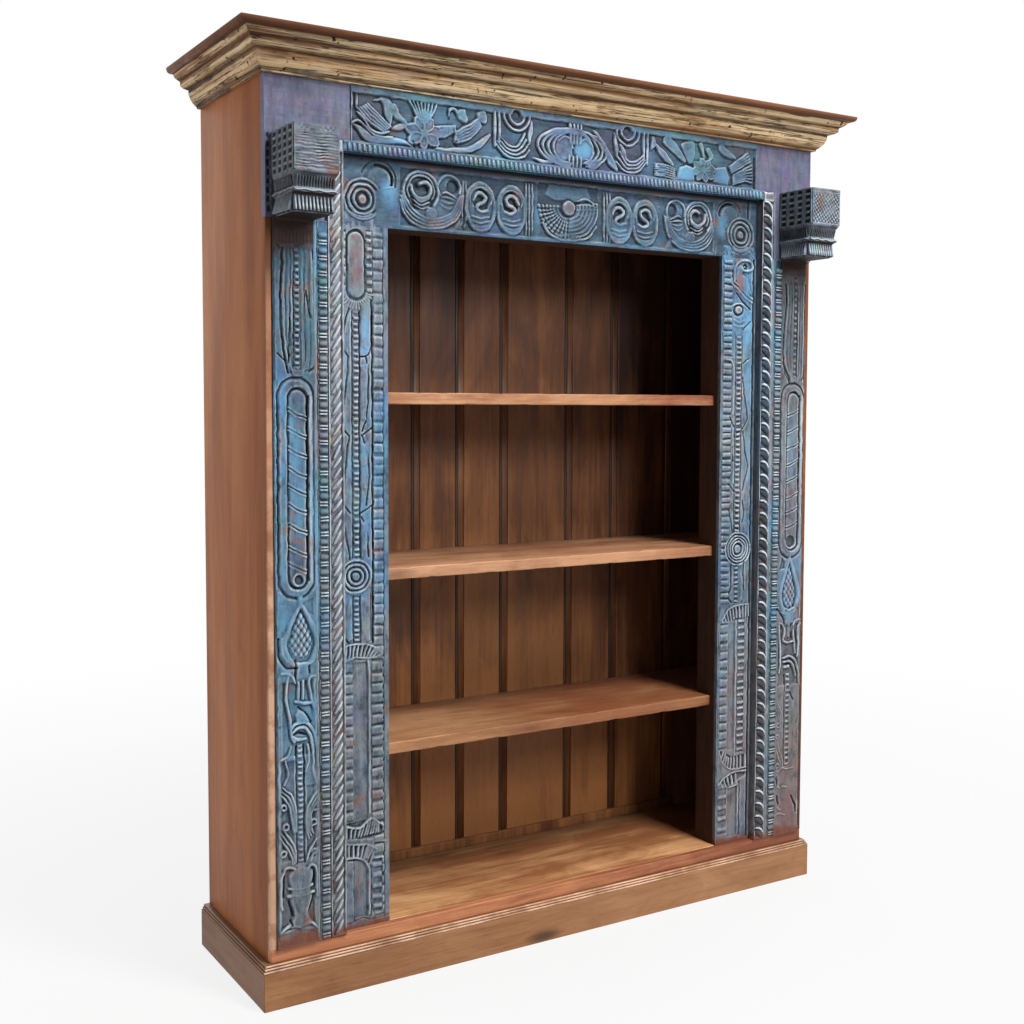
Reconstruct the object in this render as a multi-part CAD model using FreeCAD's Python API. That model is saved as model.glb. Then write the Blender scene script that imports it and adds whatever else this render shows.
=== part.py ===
"""Open bookcase built round an old carved doorway, in separate wooden pieces.

The carcass is two side panels with a deck, three shelves, a top board and a planked back.
Its front is a reclaimed door surround: posts and lintel round the opening, a carved pilaster,
reel strip and rope moulding on each side, a toothed ledge, a frieze and two brackets. The case
stands in a mitred plinth and carries a mitred crown with a cap board.

Millimetres, +Z up, +X to the right seen from the front, and the front faces -Y. The origin is
on the floor, in the middle of the width and of the depth over brackets and back.
"""
import FreeCAD, Part
import os

Vec = FreeCAD.Vector

# The case
case_depth = 421.0
side_thickness = 25.0
top_thickness = 25.0
dado_depth = 8.0
joint_clearance = 0.3
cut_overrun = 5.0

# The plinth round its foot
plinth_board_height = 86.0
plinth_thickness = 21.0
plinth_front_reach = 12.0
plinth_back_inset = 5.0
plinth_moulding_height = 16.5
plinth_bead_step = 3.0
plinth_bead_count = 3
corner_block_size = 40.0
corner_block_floor_gap = 4.0

# The deck and the shelves
deck_thickness = 30.5
lip_thickness = 20.0
shelf_thickness = 28.0
lower_shelf_top = 550.5
middle_shelf_top = 967.0
upper_shelf_top = 1380.0
shelf_setback = 45.0
edge_rounding = 2.5

# The planked back
plank_thickness = 18.0
plank_inset = 27.0
plank_foot = 62.0
plank_head_drop = 7.0
plank_joint_gap = 3.0
plank_tongue_length = 7.0
plank_tongue_thickness = 6.0
plank_bead_width = 25.0
plank_bead_depth = 2.0
plank_joint_shares = (0.1263, 0.2410, 0.3360, 0.4215, 0.5101, 0.6476, 0.7483, 0.8737)
back_rebate = 10.0
batten_thickness = 18.0
batten_height = 70.0
foot_rail_height = 25.0
foot_rail_thickness = 8.0
screw_diameter = 4.0
screw_head_diameter = 8.0
screw_head_height = 3.0
screw_length = 30.0
screw_clearance = 0.15

# The door surround, from the opening outwards
opening_width = 1003.0
post_length = 1622.0
post_width = 121.5
post_thickness = 82.0
post_recess = 21.0
rope_width = 37.0
reel_width = 35.0
pilaster_width = 95.0
pilaster_fillet = 9.0
case_edge_width = 14.5
stile_thickness = 24.0
surround_reach = 5.0
carving_height = 6.0
carving_root = 2.0

# The carved strips
rope_bulge = 9.0
reel_bulge = 6.0
reel_pitch = 25.0
reel_groove = 4.0
tooth_pitch = 25.0
tooth_groove = 6.0
tooth_depth = 4.0
tooth_strip_width = 31.0
tooth_strip_margin = 9.5
post_panel_margin = 2.0
pilaster_foot_height = 38.0

# The lintel, the ledge and the frieze
lintel_height = 159.0
lintel_block_width = 149.0
lintel_tenon_height = 30.0
lintel_tenon_width = 60.0
lintel_tenon_thickness = 24.0
dowel_diameter = 16.0
dowel_length = 60.0
dowel_pitch = 80.0
ledge_height = 22.0
ledge_reach = 14.0
ledge_tooth_pitch = 13.0
ledge_tooth_groove = 3.5
ledge_tooth_depth = 4.0
frieze_height = 126.0
frieze_width = 1204.0

# The brackets
bracket_reach = 130.0
bracket_width = 107.0
bracket_box_height = 98.0
bracket_box_chamfer = 5.0
bracket_neck_height = 33.0
bracket_ridge_height = 10.0
bracket_front_taper = 24.0
bracket_side_taper = 5.0
bracket_box_lip = 3.0
bracket_petal_count = 9
bolt_diameter = 8.0
bolt_bite = 40.0
bolt_head_width = 13.0
bolt_head_height = 5.5
bolt_gap_height = 90.0

# The crown and its cap
crown_height = 74.0
crown_side_reach = 83.0
crown_front_reach = 93.0
crown_bearing_depth = 18.0
cap_thickness = 14.0
cap_rounding = 11.0
cornice_block_size = 40.0
cornice_block_count = 3
cornice_rail_thickness = 20.0

# Carved forms, as shares of the height and width of the piece that carries them
post_frame_shares = ((0.893, 0.991), (0.134, 0.41), (0.01, 0.122))
post_frame_band_share = 0.25
post_strip_shares = ((0.531, 0.897), (0.406, 0.48))
post_strip_half_share = 0.083
post_rosette_share = 0.506
post_rosette_radius_share = 0.42
column_level_shares = (0.79, 0.967)
column_half_shares = (0.22, 0.44)
cartouche_shares = (0.487, 0.787)
cartouche_width_share = 0.74
cartouche_band_share = 0.13
bud_shares = (0.394, 0.468)
bud_width_share = 0.7
stem_shares = (0.122, 0.284)
stem_half_share = 0.09
scroll_shares = (0.1, 0.385)
scroll_offset_share = 0.27
scroll_width_share = 0.3
vase_share = 0.06
vase_radius_share = 0.3
vase_foot_shares = (0.0235, 0.05)
vase_foot_half_share = 0.15
lintel_axis_share = 0.52
lintel_fan_radius_share = 0.46
lintel_rosette_shares = (0.34, 0.53)
lintel_rosette_radius_share = 0.27
lintel_scroll_share = 0.8
lintel_scroll_radius_share = 0.45
boss_level_share = 0.38
boss_radius_shares = (0.27, 0.2, 0.14)
frieze_axis_share = 0.36
frieze_loop_radius_shares = (0.36, 0.2)
frieze_flower_share = 0.69
frieze_flower_radius_share = 0.3
frieze_leaf_tip_shares = (0.97, 0.42)
frieze_leaf_rise_share = 0.28
frieze_drop_share = 0.3
frieze_drop_width_share = 0.3
ledge_foot_share = 0.2
bracket_neck_taper_share = 0.6
bolt_level_share = 0.8
petal_root_share = 0.3
petal_tip_share = 0.5

# The crown's profile from its foot up: shares of its reach and of its height, curves in pairs
crown_profile_shares = (
    ((0.108, 0.0),),
    ((0.108, 0.05),),
    ((0.23, 0.20), (0.335, 0.40)),
    ((0.35, 0.56),),
    ((0.42, 0.565), (0.565, 0.64)),
    ((0.59, 0.66),),
    ((0.60, 0.80),),
    ((0.70, 0.86), (0.80, 1.0)),
)

# Planes that the pieces share
front = (bracket_reach - case_depth) / 2
back = front + case_depth
layer_back = front + lip_thickness
stile_back = layer_back + stile_thickness
post_front = front + post_recess
post_back = post_front + post_thickness
plank_back = back - plank_inset
plank_front = plank_back - plank_thickness
opening_half = opening_width / 2
post_outer = opening_half + post_width
rope_outer = post_outer + rope_width
reel_outer = rope_outer + reel_width
pilaster_outer = reel_outer + pilaster_width
pilaster_centre = (reel_outer + pilaster_outer - pilaster_fillet) / 2
case_half = pilaster_outer + case_edge_width
side_inner = case_half - side_thickness

# Levels that the pieces share
deck_bottom = plinth_board_height + plinth_moulding_height
deck_top = deck_bottom + deck_thickness
lintel_bottom = deck_top + post_length
lintel_top = lintel_bottom + lintel_height
ledge_top = lintel_top + ledge_height
case_top = ledge_top + frieze_height
top_board_bottom = case_top - top_thickness
crown_top = case_top + crown_height
shelf_tops = {"lower": lower_shelf_top, "middle": middle_shelf_top, "upper": upper_shelf_top}


def block(x_low, x_high, y_low, y_high, z_low, z_high):
    """A squared board between two corners."""
    return Part.makeBox(x_high - x_low, y_high - y_low, z_high - z_low, Vec(x_low, y_low, z_low))


def mirrored(piece):
    """The left-hand twin of a right-hand piece."""
    return piece.mirror(Vec(0, 0, 0), Vec(1, 0, 0))


def prism(points, sweep):
    """A solid with flat sides: a closed outline of points, swept along a vector."""
    return Part.Face(Part.makePolygon(points + points[:1])).extrude(sweep)


def rod(start, direction, radius, length):
    return Part.makeCylinder(radius, length, start, direction)


def disc(x, z, radius, ground):
    """A round boss carved on a board whose ground lies at y = ground."""
    start = Vec(x, ground + carving_root, z)
    return rod(start, Vec(0, -1, 0), radius, carving_height + carving_root)


def bar(x_low, x_high, z_low, z_high, ground, height=carving_height):
    """A straight raised band on a board."""
    return block(x_low, x_high, ground - height, ground + carving_root, z_low, z_high)


def stadium(x, z_low, z_high, width, ground):
    """A raised long form with round ends."""
    radius = width / 2
    form = bar(x - radius, x + radius, z_low + radius, z_high - radius, ground)
    form = form.fuse(disc(x, z_low + radius, radius, ground))
    return form.fuse(disc(x, z_high - radius, radius, ground))


def stadium_frame(x, z_low, z_high, width, band, ground):
    """A long round-ended frame: the form with a smaller one taken out of it."""
    inner = stadium(x, z_low + band, z_high - band, width - band - band, ground)
    return stadium(x, z_low, z_high, width, ground).cut(inner)


def lens(x, z_low, z_high, width, ground):
    """A raised leaf, pointed at both ends."""
    middle = (z_low + z_high) / 2
    y = ground + carving_root
    low = Vec(x, y, z_low)
    high = Vec(x, y, z_high)
    right = Part.Arc(low, Vec(x + width / 2, y, middle), high).toShape()
    left = Part.Arc(high, Vec(x - width / 2, y, middle), low).toShape()
    return Part.Face(Part.Wire([right, left])).extrude(Vec(0, -carving_height - carving_root, 0))


def carve(board, forms):
    """A board with its raised forms in one piece with it."""
    return board.fuse(forms).removeSplitter()


def plan_prism(corners, z_low, z_high):
    return prism([Vec(x, y, z_low) for x, y in corners], Vec(0, 0, z_high - z_low))


def mitre_line(inner, outer):
    """The mitre at the right front corner, carried past both of its ends."""
    run_x = outer[0] - inner[0]
    run_y = outer[1] - inner[1]
    return (inner[0] - run_x, inner[1] - run_y), (outer[0] + run_x, outer[1] + run_y)


def mitre_front(run, inner, outer, z_low, z_high):
    """A front run cut to its mitres at both ends."""
    near, far = mitre_line(inner, outer)
    corners = [near, far, (-far[0], far[1]), (-near[0], near[1])]
    return run.common(plan_prism(corners, z_low, z_high))


def mitre_side(run, inner, outer, z_low, z_high):
    """A right-hand run cut to its mitre at the front and square at the back."""
    near, far = mitre_line(inner, outer)
    corners = [near, far, (far[0], back), (near[0], back)]
    return run.common(plan_prism(corners, z_low, z_high))


def round_long_edges(piece, radius, y, levels):
    """Eases the edges that run along X at one depth and at the named levels."""
    picked = []
    for edge in piece.Edges:
        box = edge.BoundBox
        flat = box.XLength > box.YLength + box.ZLength
        if flat and abs(box.YMin - y) < joint_clearance:
            if any(abs(box.ZMin - level) < joint_clearance for level in levels):
                picked.append(edge)
    return piece.makeFillet(radius, picked)


# Plinth

plinth_outer = (case_half + plinth_thickness, front - plinth_front_reach)
plinth_inner = (case_half, plinth_outer[1] + plinth_thickness)


def plinth_front_board():
    x, y = plinth_outer
    run = block(-x, x, y, plinth_inner[1], 0, plinth_board_height)
    return mitre_front(run, plinth_inner, plinth_outer, 0, plinth_board_height)


def plinth_side_board():
    x, y = plinth_outer
    run = block(case_half, x, y, back, 0, plinth_board_height)
    return mitre_side(run, plinth_inner, plinth_outer, 0, plinth_board_height)


def bead_section(place):
    """Three small beads, each set back behind the one below; place turns (in, z) into a point."""
    bead_height = plinth_moulding_height / plinth_bead_count
    edges = []
    corner = place(plinth_thickness, plinth_board_height)
    first = corner
    for number in range(plinth_bead_count):
        setback = plinth_bead_step * (number + 1)
        low = plinth_board_height + bead_height * number
        start = place(setback, low)
        end = place(setback, low + bead_height)
        nose = place(setback - bead_height / 2, low + bead_height / 2)
        edges.append(Part.LineSegment(corner, start).toShape())
        edges.append(Part.Arc(start, nose, end).toShape())
        corner = end
    top = place(plinth_thickness, deck_bottom)
    edges.append(Part.LineSegment(corner, top).toShape())
    edges.append(Part.LineSegment(top, first).toShape())
    return Part.Face(Part.Wire(edges))


def plinth_front_moulding():
    x, y = plinth_outer
    section = bead_section(lambda inward, z: Vec(-x, y + inward, z))
    run = section.extrude(Vec(x + x, 0, 0))
    return mitre_front(run, plinth_inner, plinth_outer, plinth_board_height, deck_bottom)


def plinth_side_moulding():
    x, y = plinth_outer
    section = bead_section(lambda inward, z: Vec(x - inward, y, z))
    run = section.extrude(Vec(0, back - y, 0))
    return mitre_side(run, plinth_inner, plinth_outer, plinth_board_height, deck_bottom)


def plinth_back_rail():
    rail_back = back - plinth_back_inset
    half = side_inner + back_rebate
    return block(-half, half, rail_back - plinth_thickness, rail_back, 0, plinth_board_height)


def plinth_corner_blocks():
    """Glue blocks behind the plinth front, at both ends and in the middle, under the deck."""
    y_low = plinth_inner[1]
    y_high = y_low + corner_block_size
    half = corner_block_size / 2
    places = (half - side_inner, 0, side_inner - half)
    return [block(x - half, x + half, y_low, y_high, corner_block_floor_gap, deck_bottom)
            for x in places]


# Carcass

def side_panel():
    """The right side: stepped at the front for plinth, lip and door surround, and housed inside."""
    outline = [
        (plinth_inner[1], 0),
        (back, 0),
        (back, case_top),
        (layer_back, case_top),
        (layer_back, lintel_bottom),
        (front, lintel_bottom),
        (front, deck_top),
        (layer_back, deck_top),
        (layer_back, deck_bottom),
        (plinth_inner[1], deck_bottom),
    ]
    panel = prism([Vec(side_inner, y, z) for y, z in outline], Vec(side_thickness, 0, 0))
    housed = side_inner + dado_depth
    inside = side_inner - cut_overrun
    cuts = [
        block(inside, pilaster_outer, front - cut_overrun, layer_back, deck_top, lintel_bottom),
        block(inside, housed, layer_back - cut_overrun, plank_front, deck_bottom, deck_top),
        block(inside, housed, layer_back - cut_overrun, plank_front,
              top_board_bottom, case_top + cut_overrun),
        block(inside, side_inner + back_rebate, plank_front, back + cut_overrun,
              -cut_overrun, case_top + cut_overrun),
    ]
    for level in shelf_tops.values():
        cuts.append(block(inside, housed, post_back, plank_front,
                          level - shelf_thickness, level + joint_clearance))
    return panel.cut(cuts)


def deck_board():
    half = side_inner + dado_depth - joint_clearance
    return block(-half, half, layer_back, plank_front, deck_bottom, deck_top)


def deck_front_lip():
    lip = block(-case_half, case_half, front, layer_back, deck_bottom, deck_top)
    return round_long_edges(lip, edge_rounding, front, [deck_top])


def shelf(level):
    """A shelf with its tongue between the posts and its wide part housed in the sides."""
    low = level - shelf_thickness
    wide = side_inner + dado_depth - joint_clearance
    narrow = opening_half - joint_clearance
    step = post_back + joint_clearance
    nose = front + shelf_setback
    outline = [(-wide, step), (-wide, plank_front), (wide, plank_front), (wide, step),
               (narrow, step), (narrow, nose), (-narrow, nose), (-narrow, step)]
    board = plan_prism(outline, low, level)
    return round_long_edges(board, edge_rounding, nose, [low, level])


def case_top_board():
    half = side_inner + dado_depth - joint_clearance
    return block(-half, half, layer_back, plank_front, top_board_bottom, case_top)


def back_foot_rail():
    """The low fillet that covers the foot of the planks inside."""
    y_low = plank_front - foot_rail_thickness
    return block(-side_inner, side_inner, y_low, plank_front, deck_top, deck_top + foot_rail_height)


# Planked back

plank_field_half = side_inner + back_rebate - joint_clearance
plank_edges = [0] + list(plank_joint_shares) + [1]
plank_top = case_top - plank_head_drop


def back_plank(number):
    """One plank, counted from the left: tongue to the right, groove and bead to the left."""
    field = plank_field_half + plank_field_half
    left = field * plank_edges[number] - plank_field_half
    right = field * plank_edges[number + 1] - plank_field_half
    first = number == 0
    last = number == len(plank_joint_shares)
    body_left = left if first else left + plank_joint_gap
    plank = block(body_left, right, plank_front, plank_back, plank_foot, plank_top)
    middle = (plank_front + plank_back) / 2
    tongue_half = plank_tongue_thickness / 2
    if not last:
        tip = right + plank_tongue_length
        plank = plank.fuse(block(right, tip, middle - tongue_half, middle + tongue_half,
                                 plank_foot, plank_top))
    if not first:
        slot_half = tongue_half + joint_clearance
        slot_end = left + plank_tongue_length + joint_clearance
        plank = plank.cut(block(body_left - cut_overrun, slot_end, middle - slot_half,
                                middle + slot_half, plank_foot - cut_overrun,
                                plank_top + cut_overrun))
        plank = plank.cut(block(body_left - cut_overrun, body_left + plank_bead_width,
                                plank_front - cut_overrun, plank_front + plank_bead_depth,
                                deck_top + foot_rail_height, plank_top + cut_overrun))
    holes = [screw(x, z, screw_clearance) for x, z in screw_places() if left < x < right]
    return plank.cut(holes)


def batten_levels():
    """The foot of each of the three battens behind the planks."""
    low = plank_foot + batten_height
    high = plank_top - batten_height
    return [low, (low + high) / 2, high]


def batten(level):
    half = side_inner + back_rebate - joint_clearance
    board = block(-half, half, plank_back, plank_back + batten_thickness,
                  level, level + batten_height)
    holes = [screw(x, z, screw_clearance) for x, z in screw_places()
             if level < z < level + batten_height]
    return board.cut(holes)


def screw_places():
    """One screw through each batten into the middle of each plank."""
    field = plank_field_half + plank_field_half
    places = []
    for level in batten_levels():
        for left, right in zip(plank_edges, plank_edges[1:]):
            x = field * (left + right) / 2 - plank_field_half
            places.append((x, level + batten_height / 2))
    return places


def screw(x, z, clearance):
    """A countersunk screw whose head is flush with the batten; clearance widens it to a hole."""
    y = plank_back + batten_thickness
    shank_radius = screw_diameter / 2 + clearance
    head_radius = screw_head_diameter / 2 + clearance
    shank = rod(Vec(x, y, z), Vec(0, -1, 0), shank_radius, screw_length + clearance)
    head = Part.makeCone(head_radius, shank_radius, screw_head_height, Vec(x, y, z), Vec(0, -1, 0))
    return shank.fuse(head)


def batten_screws():
    return [screw(x, z, 0) for x, z in screw_places()]


# Door surround

def front_stile():
    """The plain stile behind the carved layer, from the post to the side panel."""
    stile = block(post_outer, side_inner, layer_back, stile_back, deck_top, top_board_bottom)
    return stile.cut(bracket_bolts(joint_clearance))


def door_post():
    """The right jamb: toothed edge strip, arch, strip, rosette, two frames, tenon on top."""
    ground = post_front
    low = deck_top
    post = block(opening_half, post_outer, ground, post_back, low, lintel_bottom)
    strip_left = opening_half + tooth_strip_margin
    strip_right = strip_left + tooth_strip_width
    panel_x = (strip_right + post_outer) / 2
    panel_width = post_outer - strip_right - post_panel_margin - post_panel_margin
    band = panel_width * post_frame_band_share
    strip_half = panel_width * post_strip_half_share
    rosette_z = low + post_length * post_rosette_share
    forms = [disc(panel_x, rosette_z, panel_width * post_rosette_radius_share, ground)]
    for foot, head in post_frame_shares:
        forms.append(stadium_frame(panel_x, low + post_length * foot, low + post_length * head,
                                   panel_width, band, ground))
    for foot, head in post_strip_shares:
        forms.append(bar(panel_x - strip_half, panel_x + strip_half, low + post_length * foot,
                         low + post_length * head, ground))
    forms += teeth(strip_left, strip_right, low, lintel_bottom, ground, tooth_pitch,
                   tooth_groove, tooth_depth)
    return carve(post, forms).fuse(post_tenon(0)).removeSplitter()


def post_tenon(clearance):
    """The stub on the post's head; clearance widens it to the mortise in the lintel block."""
    x = (opening_half + post_outer) / 2
    y = (post_front + post_back) / 2
    half_x = lintel_tenon_width / 2 + clearance
    half_y = lintel_tenon_thickness / 2 + clearance
    return block(x - half_x, x + half_x, y - half_y, y + half_y, lintel_bottom,
                 lintel_bottom + lintel_tenon_height + clearance)


def teeth(x_low, x_high, z_low, z_high, ground, pitch, groove, depth):
    """A column of raised teeth with a groove between each pair."""
    count = int((z_high - z_low) // pitch)
    step = (z_high - z_low) / count
    return [bar(x_low, x_high, z_low + step * number + groove / 2,
                z_low + step * (number + 1) - groove / 2, ground, depth)
            for number in range(count)]


def rope_moulding():
    """The half-round rope between post and reel strip, with its riser down to the post."""
    low = deck_top
    high = ledge_top
    middle = (post_outer + rope_outer) / 2
    edge = front - surround_reach
    nose = edge - rope_bulge
    section = Part.Wire([
        Part.LineSegment(Vec(post_outer, layer_back, low), Vec(post_outer, edge, low)).toShape(),
        Part.Arc(Vec(post_outer, edge, low), Vec(middle, nose, low),
                 Vec(rope_outer, edge, low)).toShape(),
        Part.LineSegment(Vec(rope_outer, edge, low), Vec(rope_outer, layer_back, low)).toShape(),
        Part.LineSegment(Vec(rope_outer, layer_back, low),
                         Vec(post_outer, layer_back, low)).toShape(),
    ])
    return Part.Face(section).extrude(Vec(0, 0, high - low))


def reel_strip():
    """The strip of reels: short half-round rolls with a groove between each pair."""
    ground = front - surround_reach
    strip = block(rope_outer, reel_outer, ground, layer_back, deck_top, lintel_bottom)
    x = (rope_outer + reel_outer) / 2
    radius = reel_width / 2 - reel_groove
    count = int(post_length // reel_pitch)
    step = post_length / count
    rolls = []
    for number in range(count):
        z = deck_top + step * number + reel_groove / 2
        height = step - reel_groove
        roll = rod(Vec(x, ground, z), Vec(0, 0, 1), radius, height)
        limit = block(x - radius, x + radius, ground - reel_bulge, ground + carving_root,
                      z, z + height)
        rolls.append(roll.common(limit))
    return carve(strip, rolls)


def pilaster():
    """The carved pilaster: fluted column, long cartouche, bud, scroll stem and vase."""
    ground = front - surround_reach
    low = deck_top
    board = block(reel_outer, pilaster_outer, ground, layer_back, low, lintel_bottom)
    x = pilaster_centre
    width = pilaster_width - pilaster_fillet

    def level(share):
        return low + post_length * share

    y = ground + carving_root
    column_foot, column_head = [level(share) for share in column_level_shares]
    foot_half, head_half = [width * share for share in column_half_shares]
    column = prism([
        Vec(x - head_half, y, column_head),
        Vec(x + head_half, y, column_head),
        Vec(x + foot_half, y, column_foot),
        Vec(x - foot_half, y, column_foot),
    ], Vec(0, -carving_height - carving_root, 0))
    stem_half = width * stem_half_share
    vase_half = width * vase_foot_half_share
    forms = [
        bar(pilaster_outer - pilaster_fillet, pilaster_outer, low + pilaster_foot_height,
            lintel_bottom, ground),
        column,
        stadium_frame(x, level(cartouche_shares[0]), level(cartouche_shares[1]),
                      width * cartouche_width_share, width * cartouche_band_share, ground),
        lens(x, level(bud_shares[0]), level(bud_shares[1]), width * bud_width_share, ground),
        bar(x - stem_half, x + stem_half, level(stem_shares[0]), level(stem_shares[1]), ground),
        disc(x, level(vase_share), width * vase_radius_share, ground),
        bar(x - vase_half, x + vase_half, level(vase_foot_shares[0]),
            level(vase_foot_shares[1]), ground),
    ]
    for side in (-1, 1):
        forms.append(lens(x + side * width * scroll_offset_share, level(scroll_shares[0]),
                          level(scroll_shares[1]), width * scroll_width_share, ground))
    return carve(board, forms)


def bracket_backing():
    """The plain board behind the bracket, out to the side of the case."""
    board = block(rope_outer, case_half, front - surround_reach, layer_back,
                  lintel_bottom, ledge_top)
    return board.cut(bracket_bolts(joint_clearance))


def corner_board():
    """The plain painted board beside the frieze."""
    board = block(frieze_width / 2, case_half, front, layer_back, ledge_top, case_top)
    return board


def lintel_beam():
    """The carved lintel between its end blocks: scrolls, rosettes and a fan in the middle."""
    half = post_outer - lintel_block_width
    ground = post_front
    beam = block(-half, half, ground, post_back, lintel_bottom, lintel_top)
    z = lintel_bottom + lintel_height * lintel_axis_share
    forms = [disc(0, z, lintel_height * lintel_fan_radius_share, ground)]
    for side in (-1, 1):
        for share in lintel_rosette_shares:
            forms.append(disc(side * half * share, z,
                              lintel_height * lintel_rosette_radius_share, ground))
        forms.append(disc(side * half * lintel_scroll_share, z,
                          lintel_height * lintel_scroll_radius_share, ground))
    return carve(beam, forms).cut(lintel_dowels(joint_clearance))


def lintel_block():
    """The block at the right end of the lintel, on the post's tenon, with its ringed boss."""
    inner = post_outer - lintel_block_width
    ground = post_front
    piece = block(inner, post_outer, ground, post_back, lintel_bottom, lintel_top)
    x = (opening_half + post_outer) / 2
    z = lintel_bottom + lintel_height * boss_level_share
    outer_ring, groove, boss = [disc(x, z, lintel_height * share, ground)
                                for share in boss_radius_shares]
    piece = carve(piece, [outer_ring.cut(groove), boss])
    return piece.cut([post_tenon(joint_clearance)] + lintel_dowels(joint_clearance))


def lintel_dowels(clearance):
    """Two dowels across each joint between the lintel and its blocks."""
    joint = post_outer - lintel_block_width
    half = dowel_length / 2 + clearance
    y = (post_front + post_back) / 2
    middle = lintel_bottom + lintel_height / 2
    dowels = []
    for side in (-1, 1):
        for z in (middle - dowel_pitch / 2, middle + dowel_pitch / 2):
            start = Vec(side * joint - half, y, z)
            dowels.append(rod(start, Vec(1, 0, 0), dowel_diameter / 2 + clearance, half + half))
    return dowels


def dentil_ledge():
    """The ledge over the lintel, with a row of small teeth on its front."""
    nose = front - ledge_reach
    ledge = block(-post_outer, post_outer, nose, layer_back, lintel_top, ledge_top)
    span = post_outer + post_outer
    count = int(span // ledge_tooth_pitch)
    step = span / count
    low = lintel_top + ledge_height * ledge_foot_share
    grooves = []
    for number in range(1, count):
        x = step * number - post_outer
        grooves.append(block(x - ledge_tooth_groove / 2, x + ledge_tooth_groove / 2,
                             nose - cut_overrun, nose + ledge_tooth_depth,
                             low, ledge_top + cut_overrun))
    return ledge.cut(grooves)


def frieze_panel():
    """The carved frieze: two flowers with their leaves and a bound loop in the middle."""
    half = frieze_width / 2
    ground = front
    panel = block(-half, half, ground, layer_back, ledge_top, case_top)
    z = ledge_top + frieze_height * frieze_axis_share
    flower = frieze_height * frieze_flower_radius_share
    loop, hollow = [disc(0, z, frieze_height * share, ground)
                    for share in frieze_loop_radius_shares]
    forms = [loop.cut(hollow)]
    for side in (-1, 1):
        x = side * half * frieze_flower_share
        forms.append(disc(x, z, flower, ground))
        for share in frieze_leaf_tip_shares:
            forms.append(leaf(x, side * half * share, z, ground))
        forms.append(lens(side * half * frieze_drop_share, z - flower, z + flower + flower,
                          frieze_height * frieze_drop_width_share, ground))
    return carve(panel, forms)


def leaf(x_root, x_tip, z, ground):
    """A long leaf that curls up from the flower to its tip."""
    y = ground + carving_root
    rise = frieze_height * frieze_leaf_rise_share
    middle = (x_root + x_tip) / 2
    root = Vec(x_root, y, z - rise / 2)
    tip = Vec(x_tip, y, z + rise)
    under = Part.Arc(root, Vec(middle, y, z - rise), tip).toShape()
    over = Part.Arc(tip, Vec(middle, y, z - rise / 5), root).toShape()
    face = Part.Face(Part.Wire([under, over]))
    return face.extrude(Vec(0, -carving_height - carving_root, 0))


def head_rail():
    """The rail behind ledge and frieze, on top of the lintel and between the stiles."""
    return block(-post_outer, post_outer, layer_back, stile_back, lintel_top, top_board_bottom)


# Brackets

bracket_x = pilaster_centre
bracket_root = front - surround_reach


def bracket_outline(z, reach, half_width):
    """A rectangle in plan, from the backing board out to the reach, as a closed wire."""
    y = front - reach
    corners = [Vec(bracket_x - half_width, bracket_root, z),
               Vec(bracket_x + half_width, bracket_root, z),
               Vec(bracket_x + half_width, y, z), Vec(bracket_x - half_width, y, z)]
    return Part.makePolygon(corners + corners[:1])


def bracket_stage(z_low, z_high, low_size, high_size):
    """One stage of the bracket, tapering between two plan rectangles."""
    lower = bracket_outline(z_low, low_size[0], low_size[1])
    upper = bracket_outline(z_high, high_size[0], high_size[1])
    return Part.makeLoft([lower, upper], True, True)


def bracket():
    """A bracket: square head, tapering neck, a ridge and a skirt of hanging petals."""
    half = bracket_width / 2
    head_bottom = ledge_top - bracket_box_height
    neck_bottom = head_bottom - bracket_neck_height
    ridge_bottom = neck_bottom - bracket_ridge_height
    head = block(bracket_x - half, bracket_x + half, front - bracket_reach, bracket_root,
                 head_bottom, ledge_top)
    chamfered = [edge for edge in head.Edges
                 if edge.BoundBox.ZLength > edge.BoundBox.XLength + edge.BoundBox.YLength
                 and edge.BoundBox.YMin < front - bracket_reach / 2]
    head = head.makeChamfer(bracket_box_chamfer, chamfered)
    neck_high = (bracket_reach - bracket_box_lip, half - bracket_box_lip)
    neck_low = (bracket_reach - bracket_front_taper * bracket_neck_taper_share,
                half - bracket_side_taper)
    ridge = (neck_low[0] + bracket_box_lip, neck_low[1] + bracket_box_lip)
    skirt_high = neck_low
    skirt_low = (bracket_reach - bracket_front_taper, half - bracket_side_taper)
    body = head.fuse([
        bracket_stage(neck_bottom, head_bottom, neck_low, neck_high),
        bracket_stage(ridge_bottom, neck_bottom, ridge, ridge),
        bracket_stage(lintel_bottom, ridge_bottom, skirt_low, skirt_high),
    ])
    petals = bracket_petals(lintel_bottom, ridge_bottom, skirt_low[0], skirt_low[1])
    body = body.fuse(petals).removeSplitter()
    return body.cut(bracket_bolts(joint_clearance))


def bracket_petals(z_low, z_high, reach, half_width):
    """The petals across the front of the skirt: cones that widen towards their tips."""
    pitch = (half_width + half_width) / bracket_petal_count
    petals = []
    for number in range(bracket_petal_count):
        x = bracket_x - half_width + pitch * number + pitch / 2
        root = Vec(x, front - reach, z_high)
        petals.append(Part.makeCone(pitch * petal_root_share, pitch * petal_tip_share,
                                    z_high - z_low, root, Vec(0, 0, -1)))
    return petals


def bracket_bolts(clearance):
    """The two coach bolts that hold the right bracket, through stile and backing board."""
    middle = ledge_top - bracket_box_height * bolt_level_share
    length = stile_back - bracket_root + bolt_bite + clearance
    bolts = []
    for z in (middle - bolt_gap_height / 2, middle + bolt_gap_height / 2):
        start = Vec(bracket_x, stile_back, z)
        bolts.append(rod(start, Vec(0, -1, 0), bolt_diameter / 2 + clearance, length))
    return bolts


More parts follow.
